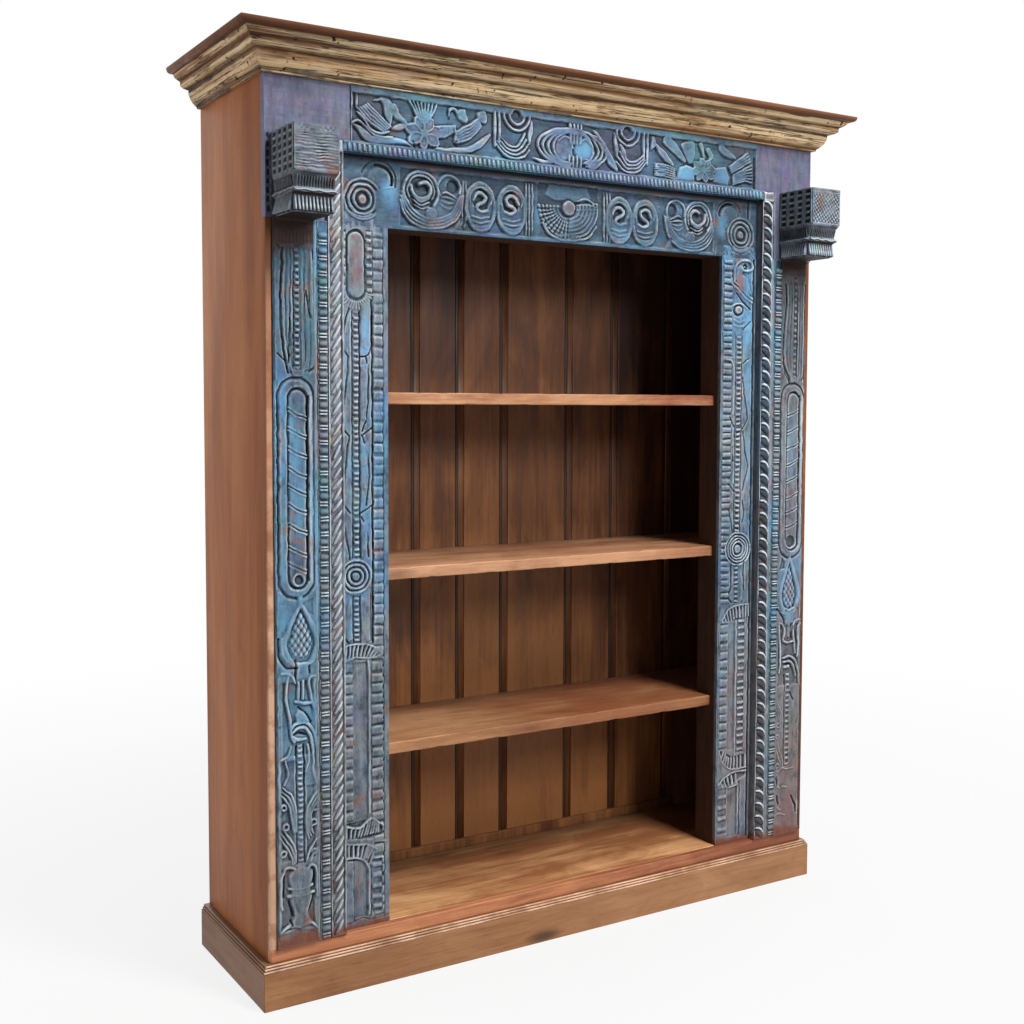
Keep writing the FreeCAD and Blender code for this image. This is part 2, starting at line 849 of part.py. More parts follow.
def bracket_bolt_set():
    """Both pairs of bolts with their square heads behind the stiles."""
    right = []
    half = bolt_head_width / 2
    for shank in bracket_bolts(0):
        box = shank.BoundBox
        z = (box.ZMin + box.ZMax) / 2
        head = block(bracket_x - half, bracket_x + half, stile_back,
                     stile_back + bolt_head_height, z - half, z + half)
        right.append(shank.fuse(head).removeSplitter())
    return right + [mirrored(bolt) for bolt in right]


# Crown and cap

crown_side_bearing = crown_bearing_depth * crown_side_reach / crown_front_reach
crown_inner = (case_half - crown_side_bearing, front + crown_bearing_depth)
crown_outer = (case_half + crown_side_reach, front - crown_front_reach)


def crown_section(place):
    """The crown's profile from its foot up; place turns shares of reach and height to a point.

    A fillet, a swelling ovolo, an upright fillet, a hollow soffit, a second upright and a bead.
    """
    start = place(None, 0.0)
    edges = []
    corner = start
    for step in crown_profile_shares:
        points = [place(out, rise) for out, rise in step]
        if len(points) == 1:
            edges.append(Part.LineSegment(corner, points[0]).toShape())
        else:
            edges.append(Part.Arc(corner, points[0], points[1]).toShape())
        corner = points[-1]
    inner_top = place(None, 1.0)
    edges.append(Part.LineSegment(corner, inner_top).toShape())
    edges.append(Part.LineSegment(inner_top, start).toShape())
    return Part.Face(Part.Wire(edges))


def crown_front():
    x = crown_outer[0]

    def place(out, rise):
        y = crown_inner[1] if out is None else front - crown_front_reach * out
        return Vec(-x, y, case_top + crown_height * rise)

    run = crown_section(place).extrude(Vec(x + x, 0, 0))
    return mitre_front(run, crown_inner, crown_outer, case_top, crown_top)


def crown_side():
    y = crown_outer[1]

    def place(out, rise):
        x = crown_inner[0] if out is None else case_half + crown_side_reach * out
        return Vec(x, y, case_top + crown_height * rise)

    run = crown_section(place).extrude(Vec(0, back - y, 0))
    return mitre_side(run, crown_inner, crown_outer, case_top, crown_top)


def cap_board():
    """The dark board on top, with its lower edge rounded at the front and both sides."""
    x, y = crown_outer
    cap = block(-x, x, y, back, crown_top, crown_top + cap_thickness)
    lower = [edge for edge in cap.Edges
             if edge.BoundBox.ZMax < crown_top + joint_clearance
             and edge.BoundBox.YMin < back - joint_clearance]
    return cap.makeFillet(cap_rounding, lower)


def cornice_rail():
    """The rail between the crown's sides, standing on the top board near the back."""
    half = crown_inner[0]
    rail_back = plank_front - joint_clearance
    return block(-half, half, rail_back - cornice_rail_thickness, rail_back, case_top, crown_top)


def cornice_blocks():
    """Blocks that carry the cap board between the crown and its back rail."""
    half = cornice_block_size / 2
    y = (front + plank_front) / 2
    pitch = (case_half + case_half) / (cornice_block_count + 1)
    blocks = []
    for number in range(cornice_block_count):
        x = pitch * (number + 1) - case_half
        blocks.append(block(x - half, x + half, y - half, y + half, case_top, crown_top))
    return blocks


def all_nodes():
    """Every piece by its node name; a list of solids is a set of alike pieces in one node."""
    nodes = {
        "plinth_front": plinth_front_board(),
        "plinth_moulding_front": plinth_front_moulding(),
        "plinth_back_rail": plinth_back_rail(),
        "plinth_corner_blocks": plinth_corner_blocks(),
        "deck_board": deck_board(),
        "deck_front_lip": deck_front_lip(),
        "back_foot_rail": back_foot_rail(),
        "case_top_board": case_top_board(),
        "lintel_beam": lintel_beam(),
        "lintel_dowels": lintel_dowels(0),
        "dentil_ledge": dentil_ledge(),
        "frieze_panel": frieze_panel(),
        "head_rail": head_rail(),
        "bracket_bolts": bracket_bolt_set(),
        "crown_front": crown_front(),
        "cap_board": cap_board(),
        "cornice_rail": cornice_rail(),
        "cornice_blocks": cornice_blocks(),
        "batten_screws": batten_screws(),
    }
    pairs = {
        "plinth": plinth_side_board,
        "plinth_moulding": plinth_side_moulding,
        "side_panel": side_panel,
        "front_stile": front_stile,
        "door_post": door_post,
        "rope_moulding": rope_moulding,
        "reel_strip": reel_strip,
        "pilaster": pilaster,
        "bracket_backing": bracket_backing,
        "corner_board": corner_board,
        "lintel_block": lintel_block,
        "bracket": bracket,
        "crown": crown_side,
    }
    for name, make in pairs.items():
        piece = make()
        nodes[name + "_right"] = piece
        nodes[name + "_left"] = mirrored(piece)
    for name, level in shelf_tops.items():
        nodes["shelf_" + name] = shelf(level)
    for name, level in zip(("lower", "middle", "upper"), batten_levels()):
        nodes["back_batten_" + name] = batten(level)
    for number in range(len(plank_joint_shares) + 1):
        nodes["back_plank_%d" % (number + 1)] = back_plank(number)
    return nodes


def main():
    os.makedirs("parts", exist_ok=True)
    for name, piece in sorted(all_nodes().items()):
        shape = Part.makeCompound(piece) if isinstance(piece, list) else piece
        for solid in shape.Solids:
            assert solid.isValid() and solid.Volume > 0, name
        shape.exportStep("parts/%s.step" % name)
        print("%-24s %2d solids  %10.0f mm3" % (name, len(shape.Solids), shape.Volume))


main()
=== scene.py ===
# %% [markdown]
# # An open bookcase built round an old carved doorway
#
# The real object is a brown hardwood case whose front is a reclaimed door surround: carved
# posts, a lintel, rope mouldings, pilasters, a frieze and two brackets, all in blue paint that
# has worn back to the wood. The construction is already solid geometry, so this lesson loads
# it, keeps every piece in its place and gives each one its carving, edges and finish.
#
# The frame is read first. The dressed model has to stay inside it.

# %% Load the frame
import math
import bmesh
import bpy
import numpy as np
from mathutils import Matrix, Vector


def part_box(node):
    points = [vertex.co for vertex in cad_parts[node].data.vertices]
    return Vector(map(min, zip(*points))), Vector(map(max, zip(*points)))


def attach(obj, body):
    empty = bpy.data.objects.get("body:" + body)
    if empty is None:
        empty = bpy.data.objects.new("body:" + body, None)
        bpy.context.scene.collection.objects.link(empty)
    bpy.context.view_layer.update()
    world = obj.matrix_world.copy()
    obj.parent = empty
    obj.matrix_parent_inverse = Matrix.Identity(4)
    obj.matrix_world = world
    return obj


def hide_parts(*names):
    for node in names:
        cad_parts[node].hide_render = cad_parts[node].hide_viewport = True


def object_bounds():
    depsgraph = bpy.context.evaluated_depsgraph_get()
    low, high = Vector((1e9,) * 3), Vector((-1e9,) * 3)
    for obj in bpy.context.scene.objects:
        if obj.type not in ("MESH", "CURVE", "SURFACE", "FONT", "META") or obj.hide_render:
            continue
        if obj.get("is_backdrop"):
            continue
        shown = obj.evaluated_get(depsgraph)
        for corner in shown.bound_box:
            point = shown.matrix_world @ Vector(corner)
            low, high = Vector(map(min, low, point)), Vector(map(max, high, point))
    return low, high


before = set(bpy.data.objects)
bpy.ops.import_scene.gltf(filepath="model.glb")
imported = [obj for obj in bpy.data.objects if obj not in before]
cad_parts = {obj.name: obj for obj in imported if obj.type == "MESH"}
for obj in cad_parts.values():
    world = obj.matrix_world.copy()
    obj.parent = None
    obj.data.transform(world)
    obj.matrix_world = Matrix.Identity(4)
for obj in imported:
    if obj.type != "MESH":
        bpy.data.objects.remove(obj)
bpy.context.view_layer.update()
MM = 0.001

# %% [markdown]
# ## Camera
#
# The picture was taken from the left at chest height with a normal lens. The place and the
# turn come from a fit to the corners of the case. A small vertical shift keeps the uprights
# nearly parallel, as the photographer did, and nothing in a material depends on this camera.

# %% Camera
pan, tilt, roll = (math.radians(degrees) for degrees in (-31.772, -3.462, -0.173))
place = (-1.8276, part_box("deck_front_lip")[0].y - 2.6671, 1.3468)
camera_data = bpy.data.cameras.new("camera")
camera_data.lens = 45.29
camera_data.sensor_width = 36.0
camera_data.shift_y = -0.0265
camera = bpy.data.objects.new("camera", camera_data)
bpy.context.scene.collection.objects.link(camera)
turn = (Matrix.Rotation(pan, 3, "Z") @ Matrix.Rotation(tilt, 3, "X")
        @ Matrix.Rotation(roll, 3, "Y"))
axes = Matrix((turn @ Vector((1, 0, 0)), turn @ Vector((0, 0, 1)), turn @ Vector((0, -1, 0))))
camera.matrix_world = Matrix.Translation(place) @ axes.transposed().to_4x4()
bpy.context.scene.camera = camera
bpy.context.scene.view_settings.view_transform = "Standard"
print("camera at", [round(v, 3) for v in camera.matrix_world.translation])

# %% [markdown]
# ## Studio
#
# A pale floor and a white surround, a lamp high in front, a lower one that reaches into the
# bays, and soft fills from behind the sides, which leave the carving its shadows. The lamps
# could be made brighter to whiten the background, but that would bleach the wood. So the
# background is white only for rays that come from the camera or off a shiny surface, and the
# object is lit at a plain level, at which a colour renders about as it is written. Away from
# the object the floor melts into the background; near it the floor keeps the shadow.

# %% Studio
def lamp(name, size, energy, place, colour=(1, 1, 1)):
    """A square area lamp aimed at the middle of the case."""
    data = bpy.data.lights.new(name, "AREA")
    data.size, data.energy, data.color = size, energy, colour
    item = bpy.data.objects.new(name, data)
    item.location = place
    item.rotation_euler = (Vector((0, 0, 1)) - Vector(place)).to_track_quat("-Z", "Y").to_euler()
    bpy.context.scene.collection.objects.link(item)


lamp("key", 1.1, 290, (0.9, -3.0, 5.0), (1.0, 0.98, 0.96))
lamp("front", 1.3, 112, (1.0, -4.1, 3.1))
lamp("fill_left", 2.6, 120, (-5.0, 1.4, 2.0))
lamp("fill_right", 2.6, 70, (4.6, 1.6, 1.9))
lamp("fill_back", 2.6, 100, (0.5, 5.0, 2.6))


def white_when_seen(tree, plain, white, weight=None):
    """Shows white in place of plain to rays from the camera, off gloss or through glass."""
    new, link = tree.nodes.new, tree.links.new
    rays = new("ShaderNodeLightPath").outputs
    share = rays["Is Camera Ray"]
    for operation, other in (("MAXIMUM", rays["Is Glossy Ray"]),
                             ("MAXIMUM", rays["Is Transmission Ray"]), ("MULTIPLY", weight)):
        if other:
            step = new("ShaderNodeMath")
            step.operation = operation
            link(share, step.inputs[0])
            link(other, step.inputs[1])
            share = step.outputs[0]
    blend = new("ShaderNodeMixShader")
    for number, output in enumerate((share, plain.outputs[0], white.outputs[0])):
        link(output, blend.inputs[number])
    return blend.outputs[0]


world = bpy.data.worlds.new("studio")
bpy.context.scene.world = world
world.use_nodes = True
tree = world.node_tree
plain, white = tree.nodes["Background"], tree.nodes.new("ShaderNodeBackground")
for node, colour, strength in ((plain, (0.95, 0.97, 1.0, 1), 0.12), (white, (1, 1, 1, 1), 1.0)):
    node.inputs["Color"].default_value = colour
    node.inputs["Strength"].default_value = strength
tree.links.new(white_when_seen(tree, plain, white), tree.nodes["World Output"].inputs[0])

half_floor, floor_middle = 14, 5
corners = [(half_floor * x, floor_middle + half_floor * y, 0)
           for x, y in ((-1, -1), (1, -1), (1, 1), (-1, 1))]
floor_mesh = bpy.data.meshes.new("floor")
floor_mesh.from_pydata(corners, [], [(0, 1, 2, 3)])
floor = bpy.data.objects.new("floor", floor_mesh)
bpy.context.scene.collection.objects.link(floor)
floor_finish = bpy.data.materials.new("floor_finish")
floor_finish.use_nodes = True
tree = floor_finish.node_tree
plain, white, distance, spread = tree.nodes["Principled BSDF"], *(
    tree.nodes.new(kind) for kind in ("ShaderNodeEmission", "ShaderNodeVectorMath",
                                      "ShaderNodeMapRange"))
plain.inputs["Base Color"].default_value = (0.5, 0.5, 0.5, 1)
plain.inputs["Roughness"].default_value = 0.9
distance.operation = "LENGTH"
# The share of white is 0.84 up to 1 m from the middle, so a soft shadow shows, and 1 from 4 m
for socket, value in (("From Min", 1.0), ("From Max", 4.0), ("To Min", 0.84), ("To Max", 1.0)):
    spread.inputs[socket].default_value = value
tree.links.new(tree.nodes.new("ShaderNodeTexCoord").outputs["Object"], distance.inputs[0])
tree.links.new(distance.outputs["Value"], spread.inputs["Value"])
tree.links.new(white_when_seen(tree, plain, white, spread.outputs[0]),
               tree.nodes["Material Output"].inputs[0])
floor_mesh.materials.append(floor_finish)
floor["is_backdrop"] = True
print("studio ready")

# %% [markdown]
# ## Shader helper
#
# Every finish here is a graph of the same few nodes: noise, ramps, mixes and sums. Writing
# them out one link at a time hides the idea, so a small class gives each of them a short name.
# Colours are written as a painter's 0 to 255 values and turned into the linear ones.

# %% Shader helper
def rgb(red, green, blue):
    """A colour as seen on a screen, 0 to 255, as the linear colour that shaders want."""
    channels = [c / 255 for c in (red, green, blue)]
    linear = [c / 12.92 if c <= 0.04045 else ((c + 0.055) / 1.055) ** 2.4 for c in channels]
    return (*linear, 1.0)


class Finish:
    """A material under construction, on Object coordinates, with a grain along one axis."""

    def __init__(self, name, grain="X", offset=(0, 0, 0), shine=0.15):
        self.grain, self.offset = grain, offset
        self.material = bpy.data.materials.new(name)
        self.material.use_nodes = True
        self.tree = self.material.node_tree
        self.surface = self.tree.nodes["Principled BSDF"]
        self.surface.inputs["Roughness"].default_value = 0.6
        self.surface.inputs["Specular IOR Level"].default_value = shine
        self.place = self.tree.nodes.new("ShaderNodeTexCoord").outputs["Object"]

    def node(self, kind, values=(), **settings):
        """A new node with its settings and with values or outputs at its sockets."""
        made = self.tree.nodes.new(kind)
        for key, value in settings.items():
            setattr(made, key, value)
        for socket, value in dict(values).items():
            self.put(made.inputs[socket], value)
        return made

    def put(self, socket, value):
        """Links an output to a socket or sets its constant."""
        if isinstance(value, bpy.types.NodeSocket):
            self.tree.links.new(value, socket)
        else:
            socket.default_value = rgb(*value) if socket.type == "RGBA" else value

    def stretched(self, along, across):
        """Object coordinates, scaled along the grain and across it."""
        scale = [along if axis == self.grain else across for axis in "XYZ"]
        return self.node("ShaderNodeMapping", {"Vector": self.place, "Scale": scale,
                                               "Location": self.offset}).outputs[0]

    def noise(self, along, across, detail, rough, twist=0.0):
        """Noise with so many features per metre along the grain and across it."""
        return self.node("ShaderNodeTexNoise", {
            "Vector": self.stretched(along, across), "Scale": 1.0, "Detail": detail,
            "Roughness": rough, "Distortion": twist}).outputs[0]

    def math(self, operation, a, b=0.0, clamp=False):
        return self.node("ShaderNodeMath", {0: a, 1: b}, operation=operation,
                         use_clamp=clamp).outputs[0]

    def times(self, a, b, clamp=False):
        return self.math("MULTIPLY", a, b, clamp)

    def plus(self, a, b):
        return self.math("ADD", a, b)

    def more(self, a, b):
        return self.math("MAXIMUM", a, b)

    def span(self, value, low, high, to_low=0.0, to_high=1.0):
        """Maps low..high to to_low..to_high, smoothly and no further."""
        return self.node("ShaderNodeMapRange",
                         {"Value": value, "From Min": low, "From Max": high,
                          "To Min": to_low, "To Max": to_high},
                         interpolation_type="SMOOTHSTEP").outputs[0]

    def mix(self, share, a, b, blend_type="MIX"):
        return self.node("ShaderNodeMix", {0: share, 6: a, 7: b}, data_type="RGBA",
                         blend_type=blend_type).outputs[2]

    def ramp(self, value, stops):
        """Colours along a scale from 0 to 1."""
        made = self.node("ShaderNodeValToRGB", {0: value})
        band = made.color_ramp
        while len(band.elements) < len(stops):
            band.elements.new(0.5)
        for element, (position, colour) in zip(band.elements, stops):
            element.position = position
            element.color = rgb(*colour)
        return made.outputs[0]

    def cover(self, share, colour, blend_type="MIX"):
        """Lays a share of a colour over the colour so far."""
        self.colour = self.mix(share, self.colour, colour, blend_type)

    def read(self, name):
        """A number stored on the mesh."""
        return self.node("ShaderNodeAttribute", attribute_name=name).outputs["Fac"]

    def axis(self, letter):
        """The place along one axis, in metres."""
        return self.node("ShaderNodeSeparateXYZ", {0: self.place}).outputs[letter]

    def done(self, roughness, height, distance):
        """Links the colour so far, the roughness and a bump, and gives the material."""
        bump = self.node("ShaderNodeBump", {"Height": height, "Distance": distance})
        for name, value in (("Base Color", self.colour), ("Roughness", roughness),
                            ("Normal", bump.outputs[0])):
            self.put(self.surface.inputs[name], value)
        return self.material


print("grey 128 is linear", round(rgb(128, 128, 128)[0], 3))

# %% [markdown]
# ## Waxed wood
#
# The case is mango wood under wax: long streaks along the grain, fine dark pores, boards of
# slightly different tone glued side by side, and edges that hands have rubbed pale. One recipe
# serves all of it, with the grain's direction and the colours as arguments. The streaks are
# noise stretched along the grain; the worn edges read a number stored on each mesh.

# %% Waxed wood
def waxed_wood(name, grain, dark, middle, light, edge, boards=None, knots=0.0,
               rough=0.5, offset=(0, 0, 0), cloudy=0.25, shine=0.3, patch=None):
    """Wood in three tones with pale edges. boards are the axis and width of glued boards."""
    f = Finish(name, grain, offset, shine=shine)
    broad = f.noise(0.9, 9.0, 5.0, 0.6, 0.6)
    fine = f.noise(5.0, 150.0, 3.0, 0.6)
    pores = f.noise(26.0, 620.0, 2.0, 0.5)
    clouds = f.math("SUBTRACT", f.noise(3.0, 7.0, 5.0, 0.6, 1.2), 0.5)
    tone = f.plus(f.times(broad, 0.72), f.times(fine, 0.28))
    tone = f.plus(tone, f.times(clouds, cloudy))
    # The stored tone: a different tone for each board, and on the planks, deck and shelves painted
    # light as well
    tone = f.plus(tone, f.times(f.read("tone"), 0.1))
    if boards:
        letter, width = boards
        number = f.math("FLOOR", f.math("DIVIDE", f.plus(f.axis(letter), 5.03), width))
        shade = f.node("ShaderNodeTexWhiteNoise", {"W": number}, noise_dimensions="1D").outputs[0]
        tone = f.plus(tone, f.times(f.math("SUBTRACT", shade, 0.5), 0.12))
    f.colour = f.ramp(tone, [(0.30, dark), (0.5, middle), (0.72, light)])
    stain = f.span(f.noise(2.3, 2.3, 3.0, 0.5), 0.35, 0.75, 0.0, 0.8 if patch else 0.35)
    f.cover(stain, patch or dark)
    f.cover(f.span(pores, 0.60, 0.75, 0.0, 0.55), dark)
    if knots:
        cells = f.node("ShaderNodeTexVoronoi", {"Vector": f.stretched(2.2, 7.0), "Scale": 1.0})
        eye = f.span(cells.outputs["Distance"], 0.03, 0.16, 1.0, 0.0)
        pick = f.node("ShaderNodeSeparateColor", {0: cells.outputs["Color"]}).outputs[0]
        f.cover(f.times(f.times(eye, f.span(pick, 0.62, 0.66)), knots),
                [0.56 * c for c in dark])
    worn = f.times(f.read("edge"), f.span(f.noise(14, 14, 4.0, 0.6), 0.34, 0.62, 0.25, 1.0))
    f.cover(f.times(worn, 0.8), edge)
    # Near black in the planks' grooves, and painted shade towards the back of the deck and
    # shelves; also darker up the front edge of each side above 1.3 m
    f.cover(f.times(f.read("hollow_and_shade"), 0.92), (12, 7, 5))
    return f.done(f.span(fine, 0.3, 0.7, rough - 0.08, rough + 0.12),
                  f.plus(f.times(fine, 0.6), f.times(pores, 0.4)), 0.0006)


case_side, case_side_right = (
    waxed_wood(name, "Z", (116, 64, 34), (148, 90, 50), (174, 118, 74), edge, ("Y", 0.147),
               shine=0.12)
    for name, edge in (("case_side_wax", (198, 158, 130)), ("case_side_right_wax", (84, 54, 40))))
# The front stiles: the case wood painted much darker, as painted shade in the gaps where they show
case_wood_in_shade = waxed_wood("case_wood_in_shade_wax", "Z", (30, 16, 10), (56, 34, 24), (80, 52, 38),
                        edge=(90, 60, 42))
shelf_wax = {}
for level, shades in (("lower", ((96, 54, 34), (142, 98, 64), (186, 140, 100))),
                      ("middle", ((100, 56, 40), (150, 106, 76), (192, 146, 110))),
                      ("upper", ((116, 66, 46), (182, 136, 98), (226, 184, 144)))):
    shelf_wax[level] = waxed_wood(
        "shelf_wax_" + level, "X", *shades, (246, 214, 184), ("Y", 0.16), 0.7, 0.45,
        (len(level), 2, 3), 0.6, patch=(124, 68, 42))
deck_wax = waxed_wood("deck_wax", "X", (150, 96, 60), (218, 166, 116), (246, 208, 160),
                      (236, 190, 146), ("Y", 0.18), 0.6, 0.45, (3, 1, 0), 0.5)
lip_wax = waxed_wood("lip_wax", "X", (124, 70, 48), (186, 122, 84), (226, 170, 124),
                     edge=(232, 180, 140), rough=0.45, offset=(7, 0, 2))
plinth_wax = waxed_wood("plinth_wax", "X", (96, 60, 38), (138, 94, 60), (172, 126, 88),
                        knots=0.8, edge=(232, 194, 166), offset=(1, 4, 6), cloudy=0.45)
plinth_side_wax = waxed_wood("plinth_side_wax", "Y", (72, 44, 30), (110, 74, 50),
                             (140, 102, 74), knots=0.5, edge=(200, 158, 130))
plank_wax = waxed_wood("plank_wax", "Z", (44, 22, 12), (98, 58, 32), (154, 102, 58),
                       knots=0.6, edge=(96, 58, 36), offset=(5, 2, 1), cloudy=0.42)
cap_wax = waxed_wood("cap_wax", "X", (72, 42, 28), (108, 70, 48), (136, 94, 68),
                     edge=(150, 104, 74), rough=0.6, offset=(2, 9, 4), shine=0.12)
rough_sawn = waxed_wood("rough_sawn", "X", (96, 66, 46), (136, 100, 72), (162, 126, 94),
                        edge=(150, 112, 80), rough=0.75)
print("wood finishes ready")

# %% [markdown]
# ## Worn paint
#
# The doorway carries several coats of blue, teal and grey. Ridges are rubbed to a pale bloom,
# hollows hold dark dirt, and whole patches have gone down to pinkish wood. A picture of that
# paint would fit one place only. Instead each carved mesh stores two numbers per point, how far
# it stands above and how far it lies below what is round it, and the finish uses them: bloom
# on the ridges, dirt in the hollows. The second number also carries painted shade: the drip
# ledge's shadow along the top of the lintel, the shade below the brackets on the pilasters, and
# the lower strand of each lobe of the right rope. It also darkens a few broad patches: the
# frieze's right end, the right corner board and the right lintel block. On the copied rounds the
# pale crest is partly a painted highlight. Painted shade also darkens the top of each pilaster
# under its bracket, the brackets' necks, cheeks and undersides, and the faces set back behind the
# front. Noise stretched along the board's grain breaks both up.

# %% Worn paint
def worn_paint(name, grain, coats, bare_below=None, bare_and_shade_above=None, bloom=1.0, dirt_and_shade=1.0,
               patches=1.0, offset=(0, 0, 0), shade=None, mottled=1.0):
    """coats are three colours: the main coat, a second one in broad areas and the oldest."""
    f = Finish(name, grain, offset)
    f.colour, second, oldest = coats
    wide = f.noise(2.2, 6.0, 4.0, 0.6, 0.8)
    streak = f.noise(9.0, 70.0, 5.0, 0.65)
    speck = f.noise(160, 160, 4.0, 0.7)
    blotch = f.noise(17, 17, 5.0, 0.65)
    old = f.noise(4.3, 6.1, 4.0, 0.6)
    mottle = f.noise(24.0, 44.0, 5.0, 0.7)
    low, ridge = f.axis("Z"), f.read("ridge")
    f.cover(f.span(wide, 0.40, 0.62), second)
    f.cover(f.span(old, 0.50, 0.64, 0.0, 0.8), oldest)
    tint = f.node("ShaderNodeTexNoise", {"Vector": f.stretched(1, 1), "Scale": 21.0,
                                         "Detail": 3.0}).outputs["Color"]
    f.cover(0.15, f.node("ShaderNodeVectorMath", {0: tint, 1: (2.6,) * 3, 2: (-0.8,) * 3},
                         operation="MULTIPLY_ADD").outputs[0], "SOFT_LIGHT")
    f.cover(f.span(low, 0.95, 0.25, 0.0, 0.55), (126, 118, 110))
    f.cover(f.span(streak, 0.35, 0.7, 0.0, 0.5), (48, 64, 80))
    f.cover(f.span(mottle, 0.54, 0.32, 0.0, 0.75 * mottled), (40, 50, 60))
    f.cover(f.span(mottle, 0.56, 0.74, 0.0, 0.35 * mottled), (146, 160, 172))
    f.cover(f.times(f.read("bright"), f.span(blotch, 0.35, 0.55, 0.28, 0.8)), (96, 150, 186))
    bare = f.span(f.plus(blotch, f.times(ridge, 0.06)), 0.58, 0.72, 0.0, 0.8)
    stored = f.times(f.read("bare"), f.span(blotch, 0.36, 0.54, 0.25, 1.0))
    f.cover(f.more(f.times(bare, patches), stored),
            f.mix(f.span(old, 0.45, 0.6), (116, 88, 88), (126, 84, 62)))
    # Pale bloom on the ridges: rubbed paint, and on the copied rounds partly a painted highlight
    rubbed_and_highlight = f.times(f.math("POWER", ridge, 1.5), f.span(streak, 0.32, 0.66, 0.2, 1.0))
    f.cover(f.times(rubbed_and_highlight, 0.78 * bloom, True), (192, 204, 212))
    f.cover(f.span(speck, 0.60, 0.78, 0.0, 0.35), (150, 164, 176))
    f.cover(f.span(speck, 0.42, 0.26, 0.0, 0.6), (36, 42, 50))
    # Dirt in the hollows, and painted shade where the stored number holds it, such as the ledge's
    # shadow on the lintel
    f.cover(f.times(f.read("hollow_and_shade"), 1.15 * dirt_and_shade, True), (22, 26, 32))
    border = f.plus(low, f.times(f.math("SUBTRACT", blotch, 0.5), 0.08))
    if bare_below:
        f.cover(f.span(border, bare_below + 0.012, bare_below - 0.012),
                f.mix(streak, (84, 48, 38), (130, 86, 70)))
    # Above this height: dark bare wood and painted shadow, as at the top of a pilaster under its
    # bracket
    if bare_and_shade_above:
        f.cover(f.span(border, bare_and_shade_above - 0.03, bare_and_shade_above + 0.02, 0.0, 0.95),
                f.mix(streak, (30, 18, 15), (66, 44, 38)))
    if shade:
        band = f.times(f.span(low, shade[0] - 0.003, shade[0] + 0.003),
                       f.span(low, shade[1] + 0.004, shade[1] - 0.004, 0.0, 0.5))
        normal = f.node("ShaderNodeNewGeometry").outputs["Normal"]
        facing = f.node("ShaderNodeSeparateXYZ", {0: normal}).outputs
        cheeks = f.times(f.span(f.math("ABSOLUTE", facing["X"]), 0.45, 0.8, 0.0, 0.5),
                         f.span(f.axis("X"), 0.1, -0.1, 0.3, 1.1))
        under = f.span(facing["Z"], -0.5, -0.8)
        f.cover(f.more(f.more(band, cheeks), under), (38, 29, 27))
    # Faces set back behind the front, such as the posts' inner faces: bare brown wood, painted
    # dark as their shade
    f.cover(f.span(f.axis("Y"), -0.1185, -0.113), f.mix(streak, (35, 23, 19), (82, 58, 46)))
    return f.done(f.span(speck, 0.3, 0.7, 0.5, 0.75),
                  f.plus(f.times(streak, 0.7), f.times(speck, 0.3)), 0.0010)


blue, teal, grey = (85, 128, 160), (84, 130, 146), (121, 129, 138)
slate, plum, ash = (79, 99, 119), (104, 98, 124), (108, 104, 106)
sky = (82, 140, 178)
pilaster_paint = worn_paint("pilaster_paint", "Z", (sky, slate, teal), 0.168, 1.69, dirt_and_shade=0.86)
pilaster_right_paint = worn_paint("pilaster_right_paint", "Z", ((110, 112, 118), ash, slate),
                                  0.158, 1.715, offset=(7, 7, 0), patches=1.2)
post_paint = worn_paint("post_paint", "Z", (grey, blue, slate), 0.143, offset=(4, 0, 3))
strip_paint = worn_paint("strip_paint", "Z", (grey, teal, sky), 0.15, bloom=1.3, dirt_and_shade=0.9,
                         offset=(1, 5, 2))
rope_paint = worn_paint("rope_paint", "Z", ((170, 177, 185), (146, 154, 163), (158, 142, 136)),
                        0.15, dirt_and_shade=0.72, offset=(8, 2, 2))
rope_right_paint = worn_paint("rope_right_paint", "Z", ((88, 84, 92), slate, ash), 0.15,
                              bloom=1.3, offset=(5, 5, 2))
lintel_paint = worn_paint("lintel_paint", "X", ((60, 82, 102), (64, 97, 123), slate),
                          bloom=0.68, offset=(2, 2, 7))
frieze_paint = worn_paint("frieze_paint", "X", ((80, 104, 134), teal, (92, 92, 116)),
                          bloom=0.76, patches=0.5, offset=(6, 1, 5))
corner_paint = worn_paint("corner_paint", "Z", ((108, 106, 130), (100, 112, 134), plum),
                          patches=0.5, offset=(9, 3, 2), mottled=0.35)
bracket_paint = worn_paint("bracket_paint", "X", ((142, 150, 158), (112, 132, 148), grey),
                           bloom=1.2, dirt_and_shade=0.85, offset=(3, 8, 1), shade=(1.806, 1.837))
print("paint finishes ready")

# %% [markdown]
# ## Worn cream wash
#
# The crown is older than the case: a cream and ochre wash over brown wood, with dark cracks
# along the run, small holes and darker hollows in the moulding. The same stored numbers serve
# it, and the cracks are noise that is stretched very long and cut to thin lines.

